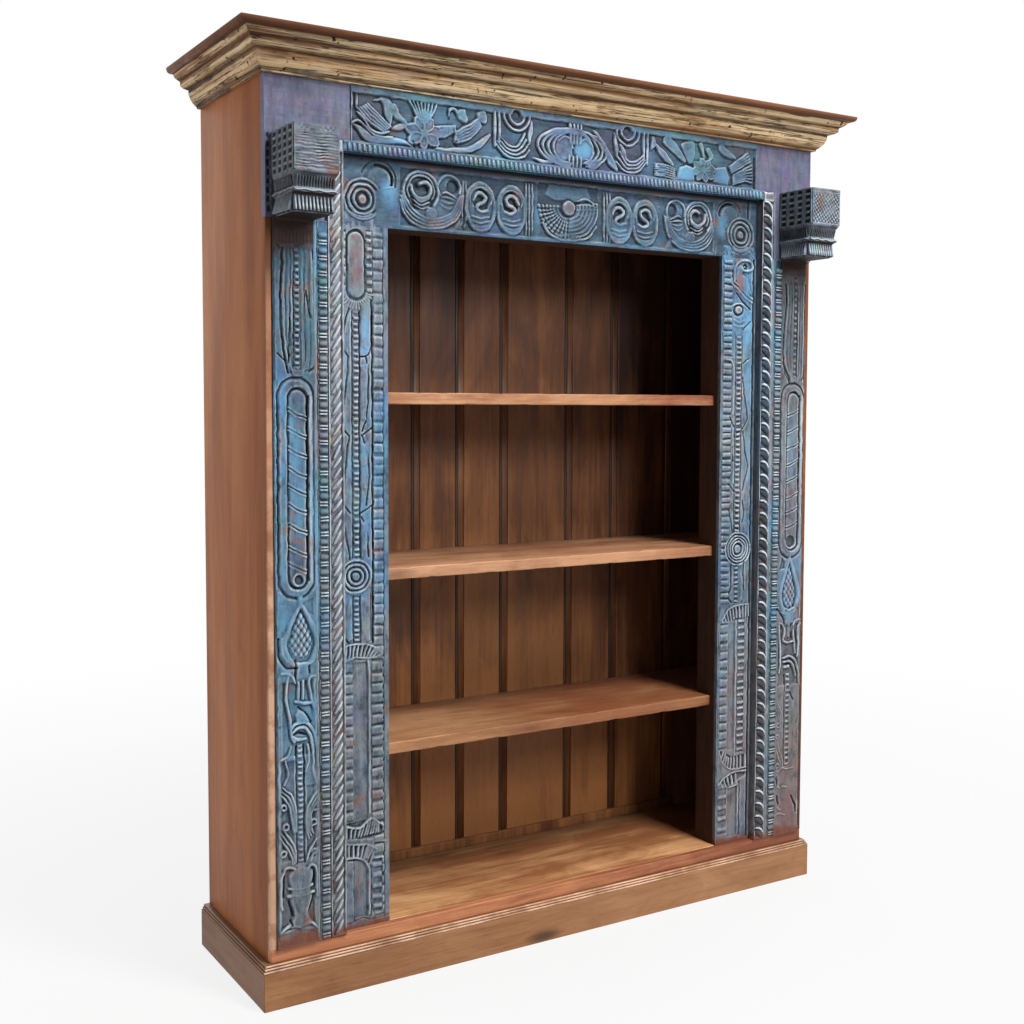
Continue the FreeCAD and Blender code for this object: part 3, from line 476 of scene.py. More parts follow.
# %% Cream wash
def cream_wash(name, grain, offset, brown=0.0):
    f = Finish(name, grain, offset)
    wide = f.noise(1.6, 16.0, 5.0, 0.6, 0.7)
    streak = f.noise(5.0, 120.0, 5.0, 0.65)
    crack = f.noise(2.6, 90.0, 4.0, 0.6, 0.4)
    blotch = f.noise(7.0, 24.0, 5.0, 0.65)
    f.colour = f.ramp(wide, [(0.30, (122, 86, 60)), (0.44, (194, 150, 102)),
                             (0.56, (226, 194, 148)), (0.74, (172, 162, 146))])
    f.cover(f.span(streak, 0.48, 0.66, 0.0, 0.6), (110, 76, 50))
    corner = f.span(f.axis("X"), -0.60, -0.76)
    f.cover(f.times(f.span(blotch, 0.52, 0.62, 0.0, 0.75), f.plus(corner, 0.2), True),
            (122, 128, 138))
    upper = f.span(f.plus(f.axis("Z"), f.times(wide, 0.03)), 2.120, 2.134)
    upper = f.times(upper, f.plus(f.times(corner, 0.6), 0.25))
    upper = f.more(upper, f.span(blotch, 0.43, 0.33, 0.0, 0.75))
    f.cover(f.more(upper, brown), f.mix(streak, (142, 86, 44), (78, 46, 26)))
    f.cover(f.times(f.read("ridge"), f.span(streak, 0.6, 0.4, 0.15, 0.8)), (228, 206, 168))
    f.cover(f.times(f.read("hollow_and_shade"), 0.75), (66, 44, 30))
    line = f.span(f.math("ABSOLUTE", f.math("SUBTRACT", crack, 0.5)), 0.0, 0.03, 1.0, 0.0)
    line = f.times(line, f.span(wide, 0.36, 0.48))
    f.cover(f.times(line, 0.9), (28, 18, 13))
    hole = f.span(f.noise(62, 62, 3.0, 0.5), 0.35, 0.28)
    f.cover(hole, (30, 20, 16))
    return f.done(f.span(streak, 0.3, 0.7, 0.55, 0.8),
                  f.math("SUBTRACT", streak, f.plus(line, hole)), 0.0014)


crown_front_wash = cream_wash("crown_front_wash", "X", (0, 0, 0))
crown_side_wash = cream_wash("crown_side_wash", "Y", (3, 2, 1), 0.6)
f = Finish("dull_steel")
f.surface.inputs["Metallic"].default_value = 1.0
spots = f.noise(300, 300, 3.0, 0.6)
f.colour = f.mix(f.span(spots, 0.45, 0.7), (150, 148, 144), (96, 74, 58))
dull_steel = f.done(f.span(spots, 0.3, 0.7, 0.35, 0.65), spots, 0.0002)
print("wash and steel ready")

# %% [markdown]
# ## Plain boards
#
# The boards of the case have the right shape already, but a solid model's edges are knife
# sharp. A bevel modifier would round them, yet the worn colour also needs to know where the
# edge is. So each board is copied, its triangles are merged into flat faces, its edges are
# rounded, each large face gets a narrow rim, and numbers are stored: edge is 1 on the rounding
# and 0 inside the rim, tone differs from board to board, and a number for hollows marks the
# planks' grooves. Tone and the hollow number also carry painted light and shade: the back planks
# are painted lighter low down and to the left, the deck and shelves lighter to the left, and
# painted shade deepens towards the back of the deck and shelves. The real case has a pale strip
# up the front edge of each side, which is also paler low down and darker above 1.3 m, and shelf
# fronts that years of use have rubbed wavy.

# %% Soft edges
def put_in_scene(name, mesh, material, nodes_replaced=()):
    """Links a finished mesh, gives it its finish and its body."""
    item = bpy.data.objects.new(name, mesh)
    bpy.context.scene.collection.objects.link(item)
    mesh.materials.clear()
    mesh.materials.append(material)
    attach(item, "root")
    if nodes_replaced:
        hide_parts(*nodes_replaced)


def rub_front(work, front, phase):
    """Cuts a shelf into short lengths and wears its two front edges back unevenly."""
    for x in np.arange(-0.6, 0.6, 0.012):
        bmesh.ops.bisect_plane(work, geom=work.verts[:] + work.edges[:] + work.faces[:],
                               plane_co=(x, 0, 0), plane_no=(1, 0, 0))
    middle = sum(v.co.z for v in work.verts) / len(work.verts)
    for vert in work.verts:
        share = 1 - (vert.co.y - front) / (13 * MM)
        if share > 0:
            upper = vert.co.z > middle
            turn = vert.co.x * 36 + phase + (2.4 if upper else 0)
            waves = math.sin(turn) + 0.8 * math.sin(2.3 * turn) + 0.6 * math.sin(5.3 * turn)
            dip = max(0.0, waves - 0.3) * share * MM
            vert.co.z -= 1.3 * dip if upper else -0.8 * dip
            vert.co.y += 0.9 * dip


def soft_board(node, material, rounding, rim):
    """A copy of a solid board with rounded edges and stored numbers."""
    work = bmesh.new()
    work.from_mesh(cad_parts[node].data)
    bmesh.ops.remove_doubles(work, verts=work.verts, dist=1e-6)
    bmesh.ops.dissolve_limit(work, angle_limit=math.radians(1.5), verts=work.verts,
                             edges=work.edges)
    sharp = [e for e in work.edges
             if len(e.link_faces) == 2 and e.calc_face_angle(0) > math.radians(35)]
    rounded = bmesh.ops.bevel(work, geom=sharp, offset=rounding * MM, segments=2, profile=0.5,
                              affect="EDGES", clamp_overlap=True)
    round_verts = set(v for face in rounded["faces"] for v in face.verts)
    wide = [f for f in work.faces if f not in set(rounded["faces"]) and len(f.verts) >= 4
            and min(e.calc_length() for e in f.edges) > 3 * rim * MM]
    if wide:
        bmesh.ops.inset_individual(work, faces=wide, thickness=rim * MM, use_even_offset=True)
    layer, tone, hollow_and_shade = (work.verts.layers.float.new(key) for key in ("edge", "tone", "hollow_and_shade"))
    front = min(v.co.y for v in work.verts)
    own_tone = math.sin(7.1 * sum(ord(letter) for letter in node))
    for vert in work.verts:
        depth = (vert.co.y - front) / MM
        vert[layer] = 1.0 if vert in round_verts else 0.0
        # The front edge of each side: paler low down, and darker above 1.3 m
        if node.startswith("side") and depth < 2:
            vert[layer], vert[hollow_and_shade] = 2.4 - 1.3 * vert.co.z, 0.9 * (vert.co.z - 1.3)
        if node == "plinth_moulding_front":
            bead = int((vert.co.z / MM - 86.2) / 5.5)
            vert[layer] = min(max(1.8 - depth + 3 * bead, 0.0), 1.0)
        vert[tone] = own_tone
        if node.startswith("back_plank"):
            # Painted light: the back planks are lighter low down and to the left
            vert[tone] += 2.0 * (1.2 - vert.co.z) - 1.8 * vert.co.x
            if depth < 9:
                vert[hollow_and_shade] = min(max((depth - 0.6) / 1.2, 0.0), 1.0)
        # Painted light and shade: the deck and shelves are lighter to the left, and painted shade
        # deepens towards the back
        if node.startswith(("deck", "shelf")):
            vert[tone] -= 1.6 * vert.co.x
            vert[hollow_and_shade] = (0.7 if node == "deck_board" else 0.5) * min(depth / 330, 1.0)
    if node.startswith("shelf"):
        rub_front(work, front, 3 * own_tone)
    mesh = bpy.data.meshes.new(node + "_board")
    work.to_mesh(mesh)
    work.free()
    mesh.shade_smooth()
    mesh.set_sharp_from_angle(angle=math.radians(32))
    put_in_scene(node + "_board", mesh, material, [node])


levels = "lower", "middle", "upper"
plain_boards = (
    (case_side, "case_wood", ["side_panel_left"]),
    (case_side_right, "case_wood", ["side_panel_right"]),
    (case_wood_in_shade, "case_wood", ["front_stile_left", "front_stile_right"]),
    (rough_sawn, "case_wood", ["case_top_board", "head_rail", "cornice_rail"]
     + ["back_batten_" + level for level in levels]),
    (cap_wax, "cap_wood", ["cap_board"]), (plinth_wax, "plinth_wood", ["plinth_front"]),
    (plinth_side_wax, "plinth_wood", ["plinth_left", "plinth_right"]),
    (deck_wax, "interior_wood", ["deck_board"]), (lip_wax, "interior_wood", ["deck_front_lip"]),
    (plank_wax, "interior_wood", ["back_foot_rail"]
     + ["back_plank_%d" % number for number in range(1, 10)]),
    *((shelf_wax[level], "interior_wood", ["shelf_" + level]) for level in levels))
for material, slot, nodes in plain_boards:
    for node in nodes:
        soft_board(node, material, 2.2 if node.startswith(("shelf", "deck")) else 1.2,
                   7.5 if node.startswith("side") else 4.0)
for side, material in (("front", plinth_wax), ("left", plinth_side_wax),
                       ("right", plinth_side_wax)):
    soft_board("plinth_moulding_" + side, material, 0.4, 0.5)
print("boards softened")

# %% [markdown]
# ## Finishes for the pieces that keep their solid shape
#
# Rails, glue blocks, dowels, bolts and screws hardly show. Their solids are right as they are,
# so they only get a finish.

# %% Hidden pieces
for node, material in (("plinth_back_rail", rough_sawn), ("plinth_corner_blocks", rough_sawn),
                       ("cornice_blocks", rough_sawn), ("lintel_dowels", rough_sawn),
                       ("bracket_bolts", dull_steel), ("batten_screws", dull_steel)):
    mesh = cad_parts[node].data
    mesh.materials.clear()
    mesh.materials.append(material)
print("hidden pieces finished")

# %% [markdown]
# ## Carving tools
#
# The doorway was carved with a few gouges: long rounded ridges, V cuts, rows of teeth, fans,
# and flat plates left standing. Sculpting that by hand would be slow and a texture would have
# no depth. So a board's face is a grid of heights, and each tool changes the heights near the
# line or outline that it is given, in millimetres. The grid then becomes a closed board whose
# points also store how much they are a ridge or a hollow, which the paint reads.

# %% Lines for the gouge
def pairs(points):
    """Rows of x and z from a flat list x, z, x, z or from a table."""
    return np.reshape(points, (-1, 2)).astype(float)


def smooth_line(points, closed=False, fineness=6):
    """A smooth line through the points."""
    p = pairs(points)
    if len(p) < 3:
        return p
    p = (np.vstack([p[-1], p, p[0], p[1]]) if closed
         else np.vstack([2 * p[0] - p[1], p, 2 * p[-1] - p[-2]]))
    t = np.linspace(0, 1, fineness, endpoint=False)[:, None]
    spans = [0.5 * (2 * b + (c - a) * t + (2 * a - 5 * b + 4 * c - d) * t ** 2
                    + (3 * b - a - 3 * c + d) * t ** 3)
             for a, b, c, d in zip(p, p[1:], p[2:], p[3:])]
    return np.vstack(spans + [p[-2][None]])


def arc(x, z, radius, start=0, stop=360, squash=1.0):
    """Points of an arc; angles in degrees from the x axis."""
    angles = np.radians(np.linspace(start, stop, max(4, int(abs(stop - start) / 14) + 1)))
    return np.column_stack((x + radius * np.cos(angles), z + radius * squash * np.sin(angles)))


def oblong(low_x, high_x, low_z, high_z):
    """The outline of an oblong with round ends."""
    r = (high_x - low_x) / 2
    x = low_x + r
    return np.vstack([arc(x, high_z - r, r, 0, 180), arc(x, low_z + r, r, 180, 360)])


def box_line(low_x, high_x, low_z, high_z):
    """The outline of a rectangle."""
    return [(low_x, low_z), (high_x, low_z), (high_x, high_z), (low_x, high_z)]


def stretch(x, z, ax, az, bx, bz):
    """How far along the stretch from a to b each point lies, 0 to 1, and how far beside it."""
    dx, dz = bx - ax, bz - az
    along = np.clip(((x - ax) * dx + (z - az) * dz) / (dx * dx + dz * dz + 1e-9), 0, 1)
    return along, np.hypot(x - ax - along * dx, z - az - along * dz)


def cloud(chance, rows, columns, cell_rows, cell_columns):
    """Smooth random heights between -1 and 1, in cells of the given size."""
    coarse = chance.uniform(-1, 1, (int(rows / cell_rows) + 3, int(columns / cell_columns) + 3))
    u, v = np.arange(rows) / cell_rows, np.arange(columns) / cell_columns
    i, j = u.astype(int), v.astype(int)
    s, t = u - i, v - j
    s, t = (s * s * (3 - 2 * s))[:, None], (t * t * (3 - 2 * t))[None, :]
    low = coarse[i][:, j] * (1 - t) + coarse[i][:, j + 1] * t
    high = coarse[i + 1][:, j] * (1 - t) + coarse[i + 1][:, j + 1] * t
    return low * (1 - s) + high * s


def blurred(field, cells):
    """A field averaged over a square of 2 * cells + 1."""
    width = 2 * cells + 1
    for axis in (0, 1):
        pad = [(0, 0), (0, 0)]
        pad[axis] = (cells + 1, cells)
        total = np.cumsum(np.pad(field, pad, mode="edge"), axis=axis)
        upper = np.take(total, np.arange(width, total.shape[axis]), axis=axis)
        lower = np.take(total, np.arange(0, total.shape[axis] - width), axis=axis)
        field = (upper - lower) / width
    return field


print("a smooth line through 3 points has", len(smooth_line([(0, 0), (1, 1), (2, 0)])), "points")

# %% [markdown]
# ## The gouge itself
#
# A ridge, a groove, a flat, a row of teeth and a fan are the carver's cuts. After them come the
# years: the lines wander, the tops are rubbed down unevenly, the grain stands up and chips fall
# out. Each board has its own fixed seed, so the same carving comes out every time.

# %% The gouge
def store(mesh, fields):
    """Stores numbers with the points of a mesh, one set for each name."""
    for key, field in fields.items():
        layer = mesh.attributes.new(key, "FLOAT", "POINT")
        layer.data.foreach_set("value", field.reshape(-1).astype(np.float32))


class Relief:
    """The carved face of a board, in millimetres, over x (sideways) and z (up)."""

    def __init__(self, low_x, high_x, low_z, high_z, face, step, seed):
        self.x = np.linspace(low_x, high_x, round((high_x - low_x) / step) + 1)
        self.z = np.linspace(low_z, high_z, round((high_z - low_z) / step) + 1)
        self.height = np.full((len(self.z), len(self.x)), float(face))
        self.bare, self.bright, self.dark = (np.zeros_like(self.height) for _ in range(3))
        self.chance = np.random.default_rng(seed)

    def window(self, low_x, high_x, low_z, high_z):
        """The part of the grid in a rectangle: where it is, and its x and z."""
        columns = slice(*np.searchsorted(self.x, (low_x, high_x)))
        rows = slice(*np.searchsorted(self.z, (low_z, high_z)))
        x, z = np.meshgrid(self.x[columns], self.z[rows])
        return (rows, columns), x, z

    def beside(self, points, width, taper, smooth, closed):
        """Distance from a line as a share of half its width, which tapers to the ends."""
        line = smooth_line(points, closed) if smooth else pairs(points)
        half = width / 2
        (low_x, low_z), (high_x, high_z) = line.min(0) - half, line.max(0) + half
        where, x, z = self.window(low_x, high_x, low_z, high_z)
        share = np.full(x.shape, 9.0)
        steps = np.linspace(0, 1, len(line))
        for a, b, s0, s1 in zip(line, line[1:], steps, steps[1:]):
            along, distance = stretch(x, z, *a, *b)
            local = half * (1.02 - taper * (2 * (s0 + along * (s1 - s0)) - 1) ** 2)
            share = np.minimum(share, distance / local)
        return where, share

    def ridge(self, lines, width, high, taper=0.0, smooth=True, closed=False):
        """Leaves a rounded ridge along a line, or along each line of a list."""
        for points in lines if isinstance(lines, list) else [lines]:
            where, share = self.beside(points, 1.16 * width, taper, smooth, closed)
            top = high * np.sqrt(np.clip(1 - share ** 2, 0, 1))
            old = self.height[where]
            self.height[where] = np.where(share < 1, np.maximum(old, top), old)

    def groove(self, lines, width, deep, taper=0.0, smooth=True):
        """Cuts a groove along a line, or along each line of a list."""
        for points in lines if isinstance(lines, list) else [lines]:
            where, share = self.beside(points, width, taper, smooth, False)
            self.height[where] -= deep * np.sqrt(np.clip(1 - share, 0, 1))

    def ribs(self, first, second, count, width, high, taper=0.5):
        """Parallel ridges from one line over to another."""
        a, b = (smooth_line(p, fineness=8) for p in (first, second))
        size = min(len(a), len(b))
        a, b = (p[np.linspace(0, len(p) - 1, size).astype(int)] for p in (a, b))
        for share in np.linspace(0, 1, count):
            self.ridge(a + (b - a) * share, width, high, taper, smooth=False)

    def rungs(self, first, second, count, width, high):
        """Short ridges that join two lines."""
        a, b = (smooth_line(p, fineness=20) for p in (first, second))
        for share in np.linspace(0, 1, count):
            ends = [p[int(round(share * (len(p) - 1)))] for p in (a, b)]
            self.ridge(pairs(ends), width, high, smooth=False)

    def inside(self, points):
        """Distance to an outline, positive inside it."""
        line = pairs(points)
        (low_x, low_z), (high_x, high_z) = line.min(0), line.max(0)
        where, x, z = self.window(low_x, high_x, low_z, high_z)
        distance, within = np.full(x.shape, 1e3), np.zeros(x.shape, bool)
        for (ax, az), (bx, bz) in zip(line, np.roll(line, -1, 0)):
            distance = np.minimum(distance, stretch(x, z, ax, az, bx, bz)[1])
            if abs(bz - az) > 1e-9:
                within ^= ((az > z) != (bz > z)) & (x < (bx - ax) * (z - az) / (bz - az) + ax)
        return where, x, z, np.where(within, distance, -distance)

    def level(self, points, high, edge, dome=0.0):
        """Brings the ground inside an outline to one height, with a crown if asked."""
        where, _, _, depth = self.inside(points)
        share = np.clip(depth / edge, 0, 1)
        crown = dome * np.sqrt(np.clip(depth / max(depth.max(), 1e-6), 0, 1))
        self.height[where] += (high + crown - self.height[where]) * share

    def sink(self, low_x, high_x, low_z, high_z):
        """Lowers a rectangle."""
        self.level(box_line(low_x, high_x, low_z, high_z), -1.5, 1.6)

    def teeth(self, low_x, high_x, low_z, high_z, pitch, high, share, lean=0.0):
        """A sunk row with blocks across it. Blocks that lean rise towards their top."""
        self.sink(low_x, high_x, low_z, high_z)
        where, x, z = self.window(low_x, high_x, low_z, high_z)
        turns = (z - low_z) / pitch
        number = np.floor(turns).astype(int)
        number -= number.min()
        size = self.chance.uniform(0.72, 1.0, number.max() + 1)[number]
        shift = self.chance.uniform(-0.1, 0.1, number.max() + 1)[number]
        place = np.abs(turns - np.floor(turns) - 0.5 + shift) * 2
        side = np.minimum(x - low_x, high_x - x)
        tooth = np.clip((share - place) / 0.4, 0, 1) ** 0.6 * np.clip(side / 2.5, 0, 1)
        tooth *= 1 - lean * (1 - (turns - np.floor(turns)))
        self.height[where] = np.maximum(self.height[where], high * size * tooth)

    def fan(self, x0, z0, inner, outer, start, stop, count, high):
        """Teeth that spread from a centre."""
        where, x, z = self.window(x0 - outer, x0 + outer, z0 - outer, z0 + outer)
        radius = np.hypot(x - x0, z - z0)
        turn = (np.degrees(np.arctan2(z - z0, x - x0)) - start) % 360
        turns = turn / (stop - start) * count
        place = np.abs(turns - np.floor(turns) - 0.5) * 2
        tooth = (np.clip((0.62 - place) / 0.4, 0, 1) ** 0.6
                 * np.clip((radius - inner) / 2.5, 0, 1) * np.clip((outer - radius) / 2.5, 0, 1))
        tooth[turn > stop - start] = 0
        self.height[where] = np.maximum(self.height[where], high * tooth)

    def hatch(self, points, pitch, angle, deep):
        """Parallel cuts inside an outline."""
        where, x, z, depth = self.inside(points)
        phase = (x * math.cos(math.radians(angle)) + z * math.sin(math.radians(angle))) / pitch
        cut = np.clip(1 - np.abs(phase - np.round(phase)) * 3.2, 0, 1)
        self.height[where] -= deep * cut * (depth > 1)

    def stains(self, kind, *ovals):
        """Marks ovals as worn bare, bright or dark: middle, half width and height, amount."""
        field = getattr(self, kind)
        for x0, z0, half_x, half_z, amount in ovals:
            where, x, z = self.window(x0 - half_x, x0 + half_x, z0 - half_z, z0 + half_z)
            fall = 1.6 - 1.6 * np.hypot((x - x0) / half_x, (z - z0) / half_z)
            field[where] = np.maximum(field[where], amount * np.clip(fall, 0, 1))

    def wobble(self):
        """Shifts the carving sideways by a millimetre or so, unevenly, as a hand does."""
        rows, columns = self.height.shape
        wander = 1.3
        cell = wander / (self.x[1] - self.x[0])
        r = np.arange(rows)[:, None] + cell * cloud(self.chance, rows, columns, 9, 9)
        q = np.arange(columns)[None, :] + cell * cloud(self.chance, rows, columns, 9, 9)
        r, q = np.clip(r, 0, rows - 1.001), np.clip(q, 0, columns - 1.001)
        i, j = r.astype(int), q.astype(int)
        s, t = r - i, q - j
        h = self.height
        self.height = ((h[i, j] * (1 - t) + h[i, j + 1] * t) * (1 - s)
                       + (h[i + 1, j] * (1 - t) + h[i + 1, j + 1] * t) * s)

    def wear(self, cap=5.2, grain_up=True):
        """Rubs the tops down unevenly and leaves the grain proud."""
        self.wobble()
        size = self.height.shape
        soft = np.clip(0.5 + 1.4 * cloud(self.chance, *size, 30, 14), 0, 1)
        self.height += (blurred(self.height, 1) - self.height) * soft
        limit = cap + 0.9 * cloud(self.chance, *size, 22, 12)
        self.height = np.minimum(self.height, limit)
        for cells in ((26, 1.6) if grain_up else (1.6, 26), (3.4, 3.4)):
            self.height += 0.16 * cloud(self.chance, *size, *cells)
        self.height -= 1.6 * np.clip(cloud(self.chance, *size, 9, 5) - 0.55, 0, 1)

    def fields(self):
        """What each point stores: how far it is a ridge, sunk, bare or bright.
        The sunk part also takes the dark stains, some of them painted shade.
        """
        near = self.height - blurred(blurred(self.height, 1), 1)
        far = self.height - blurred(blurred(self.height, 4), 3)
        rise = 0.55 * near / 0.8 + 0.45 * far / 1.8
        low = np.maximum(0.5 * np.clip((0.5 - self.height) / 2.5, 0, 1), self.dark)
        hollow_and_shade = np.clip(np.maximum(-rise - 0.05, low), 0, 1)
        return {"ridge": np.clip(rise, 0, 1), "hollow_and_shade": hollow_and_shade, "bare": self.bare,
                "bright": self.bright}


def relief_mesh(name, carving, front, back, side, lowest, highest):
    """A closed board from a carving. The ground lies at y = front, in metres."""
    height = np.clip(carving.height, lowest, highest)
    fields = carving.fields()
    x = carving.x
    if side < 0:
        x, height = -x[::-1], height[:, ::-1]
        fields = {key: field[:, ::-1] for key, field in fields.items()}
    rows, columns = height.shape
    grid_x, grid_z = np.meshgrid(x, carving.z)
    points = np.stack([grid_x * MM, front - height * MM, grid_z * MM], -1).reshape(-1, 3)
    corners = [(cx * MM, back, cz * MM) for cx, cz in
               ((x[0], carving.z[0]), (x[-1], carving.z[0]),
                (x[-1], carving.z[-1]), (x[0], carving.z[-1]))]
    index = np.arange(rows * columns).reshape(rows, columns)
    quads = np.stack([index[:-1, :-1], index[:-1, 1:], index[1:, 1:], index[1:, :-1]], -1)
    first = rows * columns
    a, b, c, d = range(first, first + 4)
    walls = [[a, b, *index[0, ::-1]], [b, c, *index[::-1, -1]],
             [c, d, *index[-1, :]], [d, a, *index[:, 0]], [d, c, b, a]]
    loops = np.concatenate([quads.reshape(-1), np.concatenate(walls)]).astype(np.int32)
    totals = np.array([4] * (quads.size // 4) + [len(w) for w in walls])
    mesh = bpy.data.meshes.new(name)
    mesh.vertices.add(first + 4)
    mesh.vertices.foreach_set("co", np.vstack([points, corners]).astype(np.float32).reshape(-1))
    mesh.loops.add(len(loops))
    mesh.loops.foreach_set("vertex_index", loops)
    mesh.polygons.add(len(totals))
    mesh.polygons.foreach_set("loop_start", np.concatenate([[0], np.cumsum(totals)[:-1]]))
    mesh.update(calc_edges=True)
    mesh.shade_smooth()
    mesh.set_sharp_from_angle(angle=math.radians(70))
    store(mesh, {key: np.append(field, [0] * 4) for key, field in fields.items()})
    return mesh


def panel(node, seed, face=2.5, step=1.6):
    """A blank over a node's width and height, in distances from the middle of the case."""
    low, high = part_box(node)
    xs = sorted((abs(low.x) / MM, abs(high.x) / MM)) if low.x * high.x > 0 \
        else (low.x / MM, high.x / MM)
    return Relief(*xs, low.z / MM, high.z / MM, face, step, seed)


def carved_mesh(node, carving, ground):
    """A node's carved mesh and its ground's y, which lies behind the node's front face."""
    low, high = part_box(node)
    front = low.y + ground * MM
    mesh = relief_mesh(node, carving, front, high.y, -1 if high.x < 0 else 1,
                       (front - high.y + 0.004) / MM, ground)
    return mesh, front / MM


def hang_panel(node, carving, material, ground=6.0):
    """Puts a node's carved board in its place."""
    mesh, _ = carved_mesh(node, carving, ground)
    put_in_scene(node + "_carved", mesh, material, [node])
    print(node, "has", len(mesh.polygons), "faces")


print("gouge ready")

# %% [markdown]
# ## Left door post
#
# From the top: a bare panel between rows of teeth, a notched midrib with leaves on both sides,
# a rosette, a second midrib, then two framed panels with toothed borders. A row of square
# teeth runs along the opening. Distances are from the middle of the case and up from the
# floor. The posts could be one mirrored board, but the carver made each by eye, so each has
# its own list of cuts.

# %% Left door post
def rosette(c, x, z, radii, width=6.5):
    """Rings round a boss."""
    c.level(arc(x, z, max(radii) + width / 2), -1.5, 1.5)
    for radius in radii[1:]:
        c.ridge(arc(x, z, radius), width, 5.2, smooth=False)
    c.level(arc(x, z, radii[0]), 3.6, 2, 1)


post = panel("door_post_left", seed=11)
post.teeth(513, 541, 150, 1742, 24.7, 6, 0.92, 0.55)
post.groove((514, 140, 514, 1750), 3, 2.5)
post.groove((541.5, 800, 541.5, 1600), 5, 6)
post.level(oblong(556, 607, 1584, 1748), -2, 2)
post.level(oblong(560, 603, 1590, 1742), 3.2, 3, 1.2)
post.teeth(606, 622, 1602, 1746, 20, 6, 0.85, 0.5)
post.teeth(541, 557, 1602, 1746, 18.5, 5.4, 0.6)
post.fan(582, 1608, 22, 44, 185, 355, 15, 5.2)
post.teeth(575, 590, 1000, 1560, 13.5, 5.4, 0.6)
post.groove([(592, 1000, 592, 1562), (573.5, 1000, 573.5, 1562)], 4, 5)
post.groove([(600, 1568, 606, 1545, 614, 1500, 618, 1480), (621, 1482, 600, 1459),
    (600, 1458, 606, 1400, 612, 1350, 617, 1302), (622, 1304, 600, 1279),
    (600, 1276, 605, 1235, 612, 1180, 616, 1130), (620, 1130, 597, 1102),
    (616, 1086, 606, 1040, 598, 996), (545, 1590, 543, 1530, 545, 1480, 556, 1462, 572, 1460),
    (556, 1460, 551, 1400, 556, 1330, 566, 1290), (545, 1297, 567, 1280),
    (566, 1280, 553, 1230, 550, 1180, 558, 1120), (543, 1120, 562, 1108, 575, 1100),
    (570, 1094, 556, 1060, 552, 1000)], 4.2, 5, smooth=True)
post.ribs((604, 1540, 612, 1500, 604, 1470), (596, 1540, 598, 1500, 597, 1470), 2, 5, 4.4)
for low, high in ((1476, 1590), (1310, 1450), (1150, 1270), (1010, 1090)):
    post.level((549, high, 571, high - 8, 571, low + 8, 555, low), 3.6, 5, 1)
rosette(post, 585, 957, (11, 17.5, 28, 38))
post.level((602, 915, 617, 845, 606, 805, 593, 812, 592, 900), 3.8, 4, 1)
post.level((573, 912, 552, 900, 546, 806, 560, 803, 573, 830), 3.4, 4, 1)
post.teeth(576, 590, 803, 912, 12, 5.2, 0.6)
post.groove([(592, 803, 592, 912), (574, 803, 574, 912), (623, 828, 603, 803),
    (546, 806, 547, 930)], 3.6, 4.5)
arch = (518, 772, 536, 789, 556, 796, 580, 800, 600, 799, 620, 795)
sill = (540, 764, 556, 765, 575, 769, 598, 767, 620, 760)
post.sink(542, 622, 764, 798)
post.rungs(arch, sill, 11, 6, 4.6)
post.ridge([arch, sill], 4.5, 5.4)
post.teeth(592, 619, 385, 757, 25, 6, 0.9, 0.55)
post.level(box_line(554, 591, 380, 758), 0.4, 2)
post.ridge((556, 760, 552, 735, 552, 400), 5, 5.2, smooth=False)
post.teeth(516, 547, 352, 764, 25.3, 6, 0.9, 0.55)
post.level((516, 345, 560, 338, 622, 345, 622, 384, 548, 386, 518, 366), -1.5, 2)
post.rungs((530, 372, 548, 382, 580, 368, 620, 378), (530, 352, 556, 350, 585, 348, 620, 350), 12,
    5, 4.4)
post.ridge((518, 366, 548, 386, 580, 369, 620, 380), 5, 5.2)
post.level((502, 330, 556, 342, 622, 350, 622, 345, 560, 332, 502, 322), 3, 2)
post.level((542, 318, 556, 325, 590, 331, 622, 338, 622, 298, 552, 280), -1.5, 2)
post.ridge((536, 312, 556, 325, 590, 331, 622, 338), 4.5, 5.2)
post.rungs((545, 317, 560, 325, 590, 330, 618, 335), (560, 286, 572, 293, 590, 300, 618, 300), 8,
    6, 4.6)
post.level(box_line(557, 591, 155, 292), 0.3, 2)
post.ridge((622, 299, 596, 300, 574, 293, 557, 276, 553, 240, 553, 160), 5.5, 5.2)
post.groove((549, 155, 549, 275), 3.5, 4)
post.groove((592, 150, 592, 296), 4, 3)
post.teeth(520, 546, 160, 290, 26, 5.2, 0.55)
post.groove((502, 148, 550, 146, 570, 154, 600, 146, 622, 148), 3.5, 2.5)
post.stains("bare", (582, 1665, 24, 66, 0.75), (581, 230, 9, 60, 0.7), (600, 1060, 14, 50, 0.35))
post.stains("bright", (560, 1500, 20, 80, 1), (612, 1420, 16, 70, 0.8), (566, 1240, 12, 60, 0.5),
    (528, 1120, 14, 160, 0.5))
post.wear()
hang_panel("door_post_left", post, post_paint)

# %% [markdown]
# ## Right door post
#
# The right post has the same rows, set a little further in, and a deep dark gap where it meets
# the rope. At the top a paisley curls over a pink bud.

